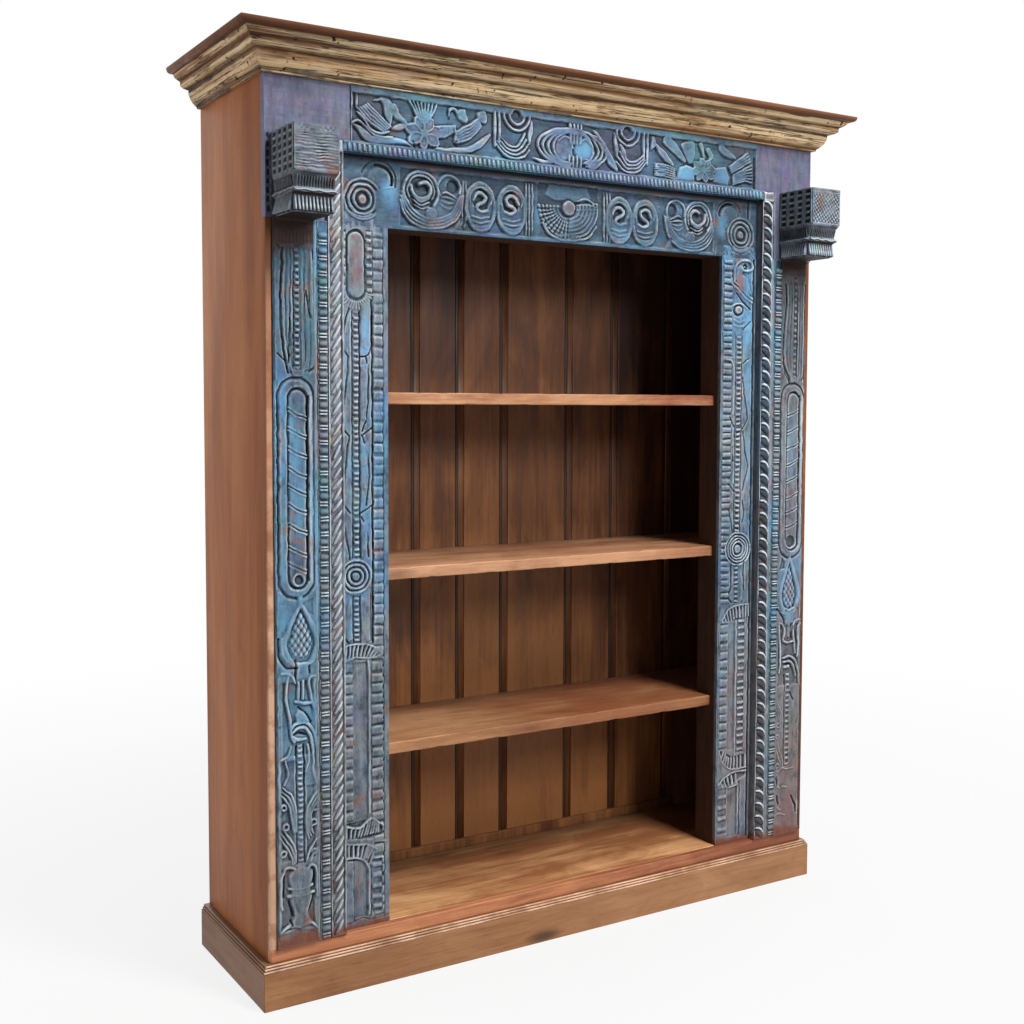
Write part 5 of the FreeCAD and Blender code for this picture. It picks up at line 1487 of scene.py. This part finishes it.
leaf(frieze, (142, 2010, 152, 1990, 160, 1970), [4, 9, 3], 3.4)
leaf(frieze, (246, 2040, 248, 2022, 240, 2006), [6, 10, 3], 3.8)
leaf(frieze, (255, 2022, 282, 1998, 312, 1974), [5, 11, 5], 3.6)
leaf(frieze, (286, 2042, 318, 2018, 352, 1990), [14, 14, 6], 3)
frieze.ribs((256, 1972, 284, 1974, 318, 1966), (254, 1944, 280, 1944, 322, 1940), 6, 4.6, 5.6, 0.1)
frieze.level((320, 1938, 386, 1938, 386, 1976, 356, 1982, 334, 1974), 4.2, 4, 0.8)
leaf(frieze, (362, 2040, 368, 2012, 372, 1986), [22, 20, 8], 2.2)
flower(frieze, 415, 1972, 8, 40, 0.78)
leaf(frieze, (404, 2042, 412, 2018, 416, 2000), [8, 6, 3], 3.6)
leaf(frieze, (428, 2030, 440, 2008, 430, 1996), [8, 10, 3], 3.6)
frieze.level((446, 1942, 504, 1938, 506, 1960, 492, 1990, 450, 1984), 4.2, 4, 0.8)
frieze.ribs((504, 1990, 534, 2010, 570, 2032), (512, 1974, 546, 1994, 580, 2012), 4, 6, 5.6, 0.15)
frieze.ribs((518, 1968, 548, 1984, 584, 2002), (516, 1942, 552, 1956, 586, 1954), 6, 5, 5.6, 0.15)
leaf(frieze, (470, 2040, 500, 2022, 528, 2014), [10, 12, 4], 3)
frieze.groove((597, 1938, 597, 2020), 8, 5)
frieze.stains("dark", (520, 2000, 260, 300, 0.3))
frieze.stains("bare", (-490, 1972, 26, 20, 0.5), (540, 2040, 60, 20, 0.5))
for x, z, across, up, amount in ((355, 1960, 44, 30, 1), (478, 1962, 36, 32, 1),
        (-478, 1954, 40, 26, 0.9), (30, 1984, 40, 26, 0.7), (-220, 1948, 60, 30, 0.8),
        (-370, 2020, 60, 34, 0.7), (-160, 1996, 40, 26, 0.6), (235, 1980, 26, 50, 0.5)):
    frieze.stains("bright", (x, z, across, up, amount))
frieze.wear(grain_up=False)
hang_panel("frieze_panel", frieze, frieze_paint)

# %% [markdown]
# ## Plain painted boards
#
# The corner boards and the boards behind the brackets are almost plain: old paint over planed
# wood, a few scratches, and a column of small sunk cells along the outer edge by the bracket.

# %% Corner and backing boards
for node, seed in (("corner_board_left", 51), ("corner_board_right", 52)):
    board = panel(node, seed=seed, face=0, step=2.2)
    for _ in range(9):
        x, z = board.chance.uniform(620, 790), board.chance.uniform(1950, 2050)
        board.groove((x, z, x + board.chance.uniform(-40, 40), z + board.chance.uniform(-20, 20)),
            1.6, 0.8)
    board.ridge((604, 1938, 604, 2060), 5, 0.3)
    board.stains("dark", (700, 2000, 500, 500, 0 if node.endswith("left") else 0.22))
    board.wear(cap=0.1, grain_up=False)
    hang_panel(node, board, corner_paint, 0.4)
for node, seed in (("bracket_backing_left", 53), ("bracket_backing_right", 54)):
    board = panel(node, seed=seed, face=-0.5, step=1.9)
    board.groove((664, 1757, 664, 1934), 6, 5)
    for number in range(9):
        z = 1766 + 19.5 * number
        board.level(oblong(794, 801, z, z + 14), -5, 1.5)
    board.wear(cap=-0.2)
    hang_panel(node, board, corner_paint, 0.4)

# %% [markdown]
# ## Rows of copies
#
# Rope lobes, reels, ledge teeth and bracket petals all repeat at an even pitch. Each is a small
# pillow: half rounds that follow a short line and narrow towards its ends. The beads beside the
# back planks' joints are long pillows too.

# %% Pillow shapes
def skin(work, rings):
    """Joins rings of points to a closed body."""
    for a, b in zip(rings, rings[1:]):
        for i in range(len(a)):
            j = (i + 1) % len(a)
            work.faces.new((a[i], a[j], b[j], b[i]))
    work.faces.new(rings[0][::-1])
    work.faces.new(rings[-1])


def as_mesh(name, work):
    """Turns the faces outwards and makes them a smooth mesh."""
    bmesh.ops.recalc_face_normals(work, faces=work.faces)
    mesh = bpy.data.meshes.new(name)
    work.to_mesh(mesh)
    work.free()
    mesh.shade_smooth()
    return mesh


def pillow(spines, around, shine=(1.0,), full=4.0, dirt_and_shade=1.0):
    """Closed half rounds. Each spine is a list of (x, z, half width, height) in millimetres."""
    work = bmesh.new()
    ridge = work.verts.layers.float.new("ridge")
    hollow_and_shade = work.verts.layers.float.new("hollow_and_shade")
    for number, spine in enumerate(spines):
        spine, glow = np.array(spine, float), shine[number % len(shine)]
        along = np.gradient(spine[:, :2], axis=0)
        along /= np.linalg.norm(along, axis=1)[:, None] + 1e-9
        rings = []
        for (x, z, half, high), (dx, dz) in zip(spine, along):
            ring = []
            for angle in np.linspace(-0.25, math.pi + 0.25, around):
                side, rise = half * math.cos(angle), high * math.sin(angle)
                vert = work.verts.new(((x + dz * side) * MM, -rise * MM, (z - dx * side) * MM))
                # shine pales the crest, as rubbed paint and a painted highlight; the foot of each
                # round holds dirt, and a round with shine below 1 is darkened all over as painted
                # shade
                vert[ridge] = glow * max(0.0, math.sin(angle)) ** 3 * min(1.0, high / full) ** 1.5
                low = 0.85 - 2.4 * max(0.0, math.sin(angle))
                vert[hollow_and_shade] = dirt_and_shade * max(0.5 - 0.5 * glow, low)
                ring.append(vert)
            rings.append(ring)
        skin(work, rings)
    return bpy.data.objects.new("pillow", as_mesh("pillow", work))


joints = [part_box("back_plank_%d" % number)[0].x / MM for number in range(2, 10)]
low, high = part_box("back_plank_2")
bead = pillow([[(x + 15.2, low.z / MM + 2, 10.0, 1.8), (x + 15.2, high.z / MM - 2, 10.0, 1.8)]
               for x in joints], 9, dirt_and_shade=0.4)
bead.data.transform(Matrix.Translation((0, low.y + 2 * MM, 0)))
put_in_scene("back_plank_beads", bead.data, plank_wax)
bpy.data.objects.remove(bead)
print(len(joints), "beads on the planks")

# %% [markdown]
# ## The rule for a row
#
# Writing out a hundred lobes would hide the rule. A Geometry Nodes tree holds it instead: a line
# of points, one copy of the pillow on each, a little random size and turn as in hand work, and
# the plain base joined in.

# %% Row tree
def row_tree():
    """Copies of a piece at an even pitch, joined to the base they stand on."""
    tree = bpy.data.node_groups.new("row_of_copies", "GeometryNodeTree")
    add_socket, sockets = tree.interface.new_socket, {}
    for label, kind in (("Base", "Geometry"), ("Piece", "Object"), ("Count", "Int"),
                        ("Start", "Vector"), ("Step", "Vector"), ("Turn", "Vector"),
                        ("Vary", "Float"), ("Seed", "Int"), ("Finish", "Material")):
        socket = add_socket(label, in_out="INPUT", socket_type="NodeSocket" + kind)
        sockets[label] = socket.identifier
    add_socket("Row", in_out="OUTPUT", socket_type="NodeSocketGeometry")
    (given, result, line, piece, placed, both, real, finish, size, tilt, euler, low, high,
     turned) = (
        tree.nodes.new(kind) for kind in (
            "NodeGroupInput", "NodeGroupOutput", "GeometryNodeMeshLine", "GeometryNodeObjectInfo",
            "GeometryNodeInstanceOnPoints", "GeometryNodeJoinGeometry",
            "GeometryNodeRealizeInstances", "GeometryNodeSetMaterial", "FunctionNodeRandomValue",
            "FunctionNodeRandomValue", "FunctionNodeEulerToRotation", "ShaderNodeMath",
            "ShaderNodeMath", "ShaderNodeVectorMath"))
    line.mode = "OFFSET"
    low.operation = "SUBTRACT"
    low.inputs[0].default_value = high.inputs[0].default_value = 1.0
    size.data_type = tilt.data_type = "FLOAT_VECTOR"
    tilt.inputs["Min"].default_value = (-0.02, -0.05, -0.02)
    tilt.inputs["Max"].default_value = (0.02, 0.05, 0.02)
    for source, output, target, entry in (
            (given, "Count", line, "Count"), (given, "Start", line, "Start Location"),
            (given, "Step", line, "Offset"), (given, "Piece", piece, "Object"),
            (given, "Vary", low, 1), (given, "Vary", high, 1), (low, 0, size, "Min"),
            (high, 0, size, "Max"), (given, "Seed", size, "Seed"), (given, "Seed", tilt, "Seed"),
            (given, "Turn", turned, 0), (tilt, "Value", turned, 1), (turned, 0, euler, 0),
            (line, 0, placed, "Points"), (piece, "Geometry", placed, "Instance"),
            (euler, 0, placed, "Rotation"), (size, "Value", placed, "Scale"),
            (placed, 0, both, 0), (given, "Base", both, 0), (both, 0, real, 0),
            (real, 0, finish, "Geometry"), (given, "Finish", finish, "Material"),
            (finish, 0, result, 0)):
        tree.links.new(source.outputs[output], target.inputs[entry])
    return tree, sockets


row_group, row_sockets = row_tree()


def with_rows(node, base, rows, material, seed, ending="_carved"):
    """A base mesh with rows of copies on it. Each row is piece, count, start, step, turn, vary."""
    holder = bpy.data.objects.new("holder", base)
    bpy.context.scene.collection.objects.link(holder)
    for number, (piece, count, start, step, turn, vary) in enumerate(rows):
        modifier = holder.modifiers.new("row_%d" % number, "NODES")
        modifier.node_group = row_group
        for label, value in (("Piece", piece), ("Count", count), ("Vary", vary),
                             ("Seed", seed + number), ("Finish", material),
                             ("Start", [v * MM for v in start]), ("Step", [v * MM for v in step]),
                             ("Turn", (*turn, 0, 0, 0)[:3])):
            modifier[row_sockets[label]] = value
    bpy.context.view_layer.update()
    graph = bpy.context.evaluated_depsgraph_get()
    mesh = bpy.data.meshes.new_from_object(holder.evaluated_get(graph))
    mesh.name = node + ending
    bpy.data.objects.remove(holder)
    for piece in set(row[0] for row in rows):
        bpy.data.objects.remove(piece)
    put_in_scene(node + ending, mesh, material, [node])
    print(node + ending, "has", len(mesh.polygons), "faces")


print("row tree has", len(row_group.nodes), "nodes")

# %% [markdown]
# ## Rope mouldings and reel strips
#
# The two ropes are by different hands. The left one is a close twist of single lobes; the right
# one has wider double lobes, each crested and undercut. The reel strip beside each has one wide
# reel and two thin beads in turn. The bases are plain reliefs.

# %% Rope and reels
for side, label in ((-1, "left"), (1, "right")):
    node = "rope_moulding_" + label
    bar = panel(node, seed=60 + side, face=-1.2)
    bar.groove((627.5, 140, 627.5, 1912), 4, 3)
    bar.groove((656.5, 140, 656.5, 1912), 3, 3)
    bar.ridge([(624.5, 134, 624.5, 1934), (658.8, 134, 658.8, 1934)], 3.5, 2.5)
    bar.level(box_line(624, 660, 1908, 1936), 6.5, 3, 0.8)
    bar.level(box_line(624, 660, 133, 140), 2.5, 3)
    bar.stains("bare", (655, 1240, 10, 60, 0.8), (650, 680, 14, 90, 0.5),
               (640, 1840, 30, 110, 0.4))
    bar.wear(cap=6.6)
    if side > 0:
        # The upper strand of each lobe gets a strong pale crest; the lower one has no shine, so it
        # is darkened all over as painted shade
        lobe = pillow([[(-16.5, 11, 2.2, 2.5), (-11, 12.5, 3.8, 7.2), (-3, 11, 4.2, 8.4),
                        (5, 6, 4.2, 8.4), (11, -1.5, 3.8, 7.2), (14.5, -11, 2.2, 2.5)],
                       [(-15.5, 1, 2.0, 1.5), (-12, 1, 6.0, 3.4), (-5, -0.5, 8.0, 4.6),
                        (2, -5, 8.5, 5.0), (8, -11, 7.5, 4.6), (12, -17, 4.5, 3.0)]],
                      9, (1.7, 0.0), 6.0)
        count, pitch, vary, material = 50, 35.5, 0.05, rope_right_paint
    else:
        lobe = pillow([[(-12, -15, 1.4, 2.0), (-8, -11, 3.6, 6.0), (-1, -1, 4.6, 8.2),
                        (5, 8, 4.4, 8.2), (9, 13, 3.0, 5.6), (11, 16, 1.4, 2.0)]], 9, (1.2,), 6.0)
        count, pitch, vary, material = 73, 24.2, 0.12, rope_paint
    base, ground = carved_mesh(node, bar, 8.9)
    with_rows(node, base, [(lobe, count, (641.5 * side, ground + 0.5, 156), (0, 0, pitch), (),
                            vary)], material, 70 + side)
    node = "reel_strip_" + label
    strip = panel(node, seed=64 + side, face=0.4)
    reel = 673 if side < 0 else 685
    strip.sink(reel - 11, reel + 11, 136, 1754)
    strip.groove((reel + 13, 136, reel + 13, 1754), 4, 3)
    strip.groove((reel - 13, 136, reel - 13, 1754), 4, 3)
    strip.stains("bare", (690, 1440, 8, 40, 0.9), (668, 1330, 8, 40, 0.8))
    strip.stains("bright", (690, 1000, 10, 200, 0.8))
    strip.wear(cap=1.2)
    beads = pillow([[(-10.5, z, half * 0.5, 1.5), (-9, z, half, rise), (0, z, half, rise + 0.3),
                     (9, z, half, rise), (10.5, z, half * 0.5, 1.5)]
                    for z, half, rise in ((0, 7.0, 5.4), (-12.8, 2.6, 4.6), (-19.6, 2.6, 4.6))],
                   9, (0.5, 1.1, 1.1))
    base, ground = carved_mesh(node, strip, 6)
    with_rows(node, base, [(beads, 47, (side * reel, ground + 0.8, 160), (0, 0, 34), (), 0.04)],
              strip_paint, 80 + side)

# %% [markdown]
# ## Toothed ledge
#
# The drip ledge over the lintel has a row of small worn teeth on its nose.

# %% Toothed ledge
nose = panel("dentil_ledge", seed=71, face=0.4, step=1.8)
nose.ridge((-622, 1934, 622, 1934), 5, 3)
nose.groove((-622, 1916, 622, 1916), 3, 1.5)
nose.wear(cap=3.0, grain_up=False)
tooth = pillow([[(0, -8.5, 2.6, 1.5), (0, -7.5, 4.2, 4.6), (0, 0, 4.4, 5.0), (0, 6.5, 4.2, 4.8),
                 (0, 8.0, 2.6, 1.5)]], 7)
base, ground = carved_mesh("dentil_ledge", nose, 6)
with_rows("dentil_ledge", base, [(tooth, 99, (-610, ground + 0.6, 1924.5), (12.45, 0, 0), (),
                                  0.06)], frieze_paint, 90)

# %% [markdown]
# ## Brackets
#
# Each bracket is one block: a square head cut with sunk cells on its cheeks and with fine
# grooves or a woven hatch on its front, a hollow neck, a bead and a skirt of hanging petals.
# The head's faces are thin reliefs on a core, so their cuts are real, and the core is a stack
# of rectangles. The petals are one more row of copies, along three sides.

# %% Bracket tools
def stacked_block(sections):
    """A closed body through rectangles with cut corners: x0, x1, y0, y1, z in millimetres."""
    corner = 5.0
    work = bmesh.new()
    rings = []
    for x0, x1, y0, y1, z in sections:
        outline = [(x0, y0 + corner), (x0 + corner, y0), (x1 - corner, y0), (x1, y0 + corner),
                   (x1, y1), (x0, y1)]
        rings.append([work.verts.new((x * MM, y * MM, z * MM)) for x, y in outline])
    skin(work, rings)
    mesh = as_mesh("stack", work)
    mesh.set_sharp_from_angle(angle=math.radians(40))
    return mesh


def cheek(width, low_z, high_z, seed):
    """The side of the head: sunk cells in columns and rows."""
    face = Relief(0, width, low_z, high_z, 0.0, 1.6, seed)
    rows, columns = 6, 4
    pitch_z, pitch_x = (high_z - low_z) / rows, width / columns
    for row in range(rows):
        for column in range(columns):
            x, z = pitch_x * column, low_z + pitch_z * row
            face.level(box_line(x + 5.5, x + pitch_x - 5.5, z + 3, z + pitch_z - 3), -6.5, 2.2)
    face.wear(cap=-0.3)
    return face


def brow(low_x, high_x, low_z, high_z, woven, seed):
    """The front of the head: grooved all over."""
    face = Relief(low_x, high_x, low_z, high_z, 0.0, 1.5, seed)
    if woven:
        face.hatch(box_line(low_x + 2, high_x - 2, low_z + 3, high_z - 14), 8.5, 38, 3.6)
        face.hatch(box_line(low_x + 2, high_x - 2, low_z + 3, high_z - 14), 8.5, 128, 2.0)
        for z in (high_z - 12, high_z - 6):
            face.groove((low_x + 2, z, high_x - 2, z), 3, 2.5)
        face.stains("bare", ((low_x + high_x) / 2 - 22, high_z - 38, 20, 34, 1))
    else:
        for z in np.arange(low_z + 6, high_z - 14, 6.4):
            bend = face.chance.uniform(-1.6, 1.6, 5)
            line = np.column_stack((np.linspace(low_x + 3, high_x - 3, 5), z + bend))
            face.groove(line, 3.4, 3.6)
        zigzag = [(x, high_z - (4 if number % 2 else 12)) for number, x in
                  enumerate(np.arange(low_x + 4, high_x - 2, 6))]
        face.groove(pairs(zigzag), 3, 2.6, smooth=False)
        face.groove((low_x + 2, high_z - 15, high_x - 2, high_z - 15), 3, 2.4)
    face.wear(cap=-0.3, grain_up=False)
    return face


print("bracket tools ready")

# %% [markdown]
# ## The brackets themselves
#
# From the bottom: a bell with hanging petals, a bead, a ribbed neck, and a square head with sunk
# cells on its cheeks. The left head's brow is grooved along, the right one's is woven. The bell
# is stacked from rectangles, because its faces lean by different amounts.

# %% Brackets
quarter = math.pi / 2
for side, label in ((-1, "left"), (1, "right")):
    node = "bracket_" + label
    low, high = (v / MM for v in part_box(node))
    x0, x1, y0, y1, z0, z1 = low.x, high.x, low.y, high.y, low.z, high.z
    head, neck, bead = z1 - 98, z1 - 131, z1 - 141
    sections = [(x0 + a, x1 - a, y0 + b, y1, z) for a, b, z in (
        (9, 27, z0), (7, 25, z0 + 6), (9, 22, bead - 8), (6, 16, bead - 2), (3, 11.5, bead + 1),
        (2, 10.5, bead + 5), (3, 11.5, neck - 1), (7, 15, neck + 2), (7.5, 13, neck + 12),
        (6, 9, neck + 23), (2.5, 3.5, head - 3), (1, 1, head), (1, 1, head + 2),
        (8, 8, head + 2.5), (8, 8, z1 - 3), (1.5, 1.5, z1 - 2.5), (1.5, 1.5, z1 - 0.5),
        (3, 3, z1))]
    petal = pillow([[(0, -21, 1.8, 3.0), (0, -19.5, 3.9, 9.0), (0, -10, 3.9, 7.2),
                     (0, 2, 3.2, 4.4), (0, 12, 2.6, 2.4), (0, 15, 1.2, 1.0)]], 9, full=6.0)
    rib = pillow([[(0, -13, 1.2, 1.0), (0, -10, 2.0, 2.6), (0, 8, 2.0, 2.6), (0, 12, 1.2, 1.0)]],
                 7, (0.5,))
    wide, deep = x1 - x0, y1 - y0
    beads = [pillow([[(x, 1.3 * math.sin(x / 5), 2.8, 3.6) for x in np.linspace(-half, half, 15)]],
                    7) for half in (wide / 2 - 5, deep / 2 - 8)]
    rows = [(petal, 11, (x0 + 12, y0 + 22, z0 + 23), ((wide - 24) / 10, 0, 0), (), 0.06),
            (rib, 14, (x0 + 12, y0 + 11.5, neck + 14), ((wide - 24) / 13, 0, 0), (0.36,), 0.06),
            (beads[0], 1, (x0 + wide / 2, y0 + 11, bead + 5), (1, 0, 0), (), 0.0)]
    for turn, place in ((-1, x0), (1, x1)):
        rows += [(petal, 11, (place - turn * 7.5, y0 + 30, z0 + 23), (0, (deep - 40) / 10, 0),
                  (0, 0, turn * quarter), 0.06),
                 (rib, 14, (place - turn * 5, y0 + 24, neck + 14), (0, (deep - 34) / 13, 0),
                  (0.1, 0, turn * quarter), 0.06),
                 (beads[1], 1, (place - turn * 3.5, y0 + deep / 2 + 6, bead + 5), (0, 1, 0),
                  (0, 0, turn * quarter), 0.0)]
    with_rows(node, stacked_block(sections), rows, bracket_paint, 95 + side, "_core")
    plate = brow(x0 + 3, x1 - 3, head + 2, z1 - 1, side > 0, 97 + side)
    mesh = relief_mesh("brow", plate, (y0 + 0.3) * MM, (y0 + 9) * MM, 1, -8.0, 0)
    put_in_scene(node + "_brow", mesh, bracket_paint)
    for turn, place, start in ((-1, x0, y1 - 1), (1, x1, y0 + 4)):
        plate = cheek(deep - 5, head + 2, z1 - 1, 99 + side + turn)
        mesh = relief_mesh("cheek", plate, 0.3 * MM, 9 * MM, 1, -8.0, 0)
        mesh.transform(Matrix.Translation((place * MM, start * MM, 0))
                       @ Matrix.Rotation(turn * quarter, 4, "Z"))
        put_in_scene(node + ("_cheek_outer" if turn * side > 0 else "_cheek_inner"), mesh,
                     bracket_paint)
print("brackets ready")

# %% [markdown]
# ## Crown
#
# The crown is a swept moulding: fillets and rounds that step outwards to the cap, mitred at the
# front corners. The solid model has the same profile. Here it is swept in short steps so that
# its arrises can wander and chip, and the depth of each point below its neighbours is stored
# for the dirt and the rubbed wash.

# %% Crown
def swept_length(name, profile, ends, count, seed):
    """Sweeps a closed profile between two mitred ends.

    profile holds (out, up, exposed) rows. ends gives, for out and up, the two end points.
    """
    chance = np.random.default_rng(seed)
    out, up, exposed = np.array(profile, float).T
    proud = (out - np.convolve(np.pad(out, 3, mode="edge"), np.ones(7) / 7, "valid")) * exposed
    shares = np.linspace(0, 1, count)
    wander = cloud(chance, count, len(out), 30, 2.5) * 0.35
    chips = np.clip(cloud(chance, count, len(out), 5, 1.6) - 0.45, 0, 1) * 3
    soft = np.clip(1.2 - np.abs(shares * 2 - 1) * 1.2, 0, 1)[:, None] ** 0.3
    moved = np.minimum((wander - chips * (0.4 + np.clip(proud, 0, 1))) * exposed * soft, 0)
    work = bmesh.new()
    rings = []
    for share, row in zip(shares, moved):
        stretches = [np.array(ends(reach, height)) for reach, height in zip(out + row, up)]
        rings.append([work.verts.new((a + (b - a) * share) * MM) for a, b in stretches])
    skin(work, rings)
    mesh = as_mesh(name, work)
    rise = np.tile(proud, (count, 1)) / 1.6 - chips * 0.5
    store(mesh, {"ridge": np.clip(rise, 0, 1), "hollow_and_shade": np.clip(-rise, 0, 1)})
    mesh.set_sharp_from_angle(angle=math.radians(38))
    return mesh


def crown_profile():
    """Shares of the crown's reach and of its height, from the bottom up."""
    def quarter_round(x0, z0, x1, z1, bulge, count):
        t = np.linspace(0, 1, count)
        bend = bulge * np.sin(np.pi * t)
        return [(x0 + (x1 - x0) * s + b, z0 + (z1 - z0) * s - b * 0.4) for s, b in zip(t, bend)]
    line = [(0.108, 0.0), (0.108, 0.05)]
    line += quarter_round(0.115, 0.06, 0.335, 0.40, 0.035, 8)
    line += [(0.35, 0.42), (0.35, 0.555)]
    line += quarter_round(0.36, 0.56, 0.565, 0.64, 0.02, 5)
    line += [(0.59, 0.655), (0.60, 0.80)]
    line += quarter_round(0.61, 0.81, 0.795, 0.985, 0.03, 7)
    line += [(0.80, 1.0)]
    fine = []
    for (a, b), (c, d) in zip(line, line[1:]):
        steps = max(1, int(math.hypot(c - a, d - b) / 0.035))
        fine += [(a + (c - a) * k / steps, b + (d - b) * k / steps) for k in range(steps)]
    return fine + [line[-1]]


cap_low, case_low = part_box("cap_board")[0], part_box("side_panel_left")[0]
front_low, front_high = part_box("crown_front")
reach_side, reach_front = (case_low.x - cap_low.x) / MM, (case_low.y - cap_low.y) / MM
base_x, base_y = -case_low.x / MM, case_low.y / MM
bottom, rise = front_low.z / MM, (front_high.z - front_low.z) / MM
inner_x, inner_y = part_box("crown_right")[0].x / MM, front_high.y / MM
rear_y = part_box("crown_left")[1].y / MM
shape = crown_profile()
profile = [(share * reach_front, bottom + up * rise, float(0 < number < len(shape) - 1))
           for number, (share, up) in enumerate(shape)]
profile += [(base_y - inner_y, bottom + rise, 0.0), (base_y - inner_y, bottom, 0.0)]


def mitre(out):
    """Where the mitre lies for one point of the profile, from the middle and in depth."""
    if out > 0:
        return base_x + out / reach_front * reach_side, base_y - out
    return inner_x, inner_y


def front_ends(out, up):
    """The two mitres of the front length for one point of the profile."""
    x, y = mitre(out)
    return (-x, y, up), (x, y, up)


def side_ends(turn):
    """The same for a side length: its mitre and its square end at the back."""
    def ends(out, up):
        x, y = mitre(out)
        return (turn * x, y, up), (turn * x, rear_y, up)
    return ends


mesh = swept_length("crown_front_run", profile, front_ends, 420, 5)
put_in_scene("crown_front_run", mesh, crown_front_wash, ["crown_front"])
for turn, label in ((-1, "left"), (1, "right")):
    mesh = swept_length("crown_%s_run" % label, profile, side_ends(turn), 120, 7 + turn)
    put_in_scene("crown_%s_run" % label, mesh, crown_side_wash, ["crown_" + label])
print("crown ready")

# %% [markdown]
# ## Size of the dressed model
#
# The last step measures the box of the dressed model and prints it.

# %% Finish
low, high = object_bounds()
print("box of the dressed", [round(v, 4) for v in (*low, *high)])
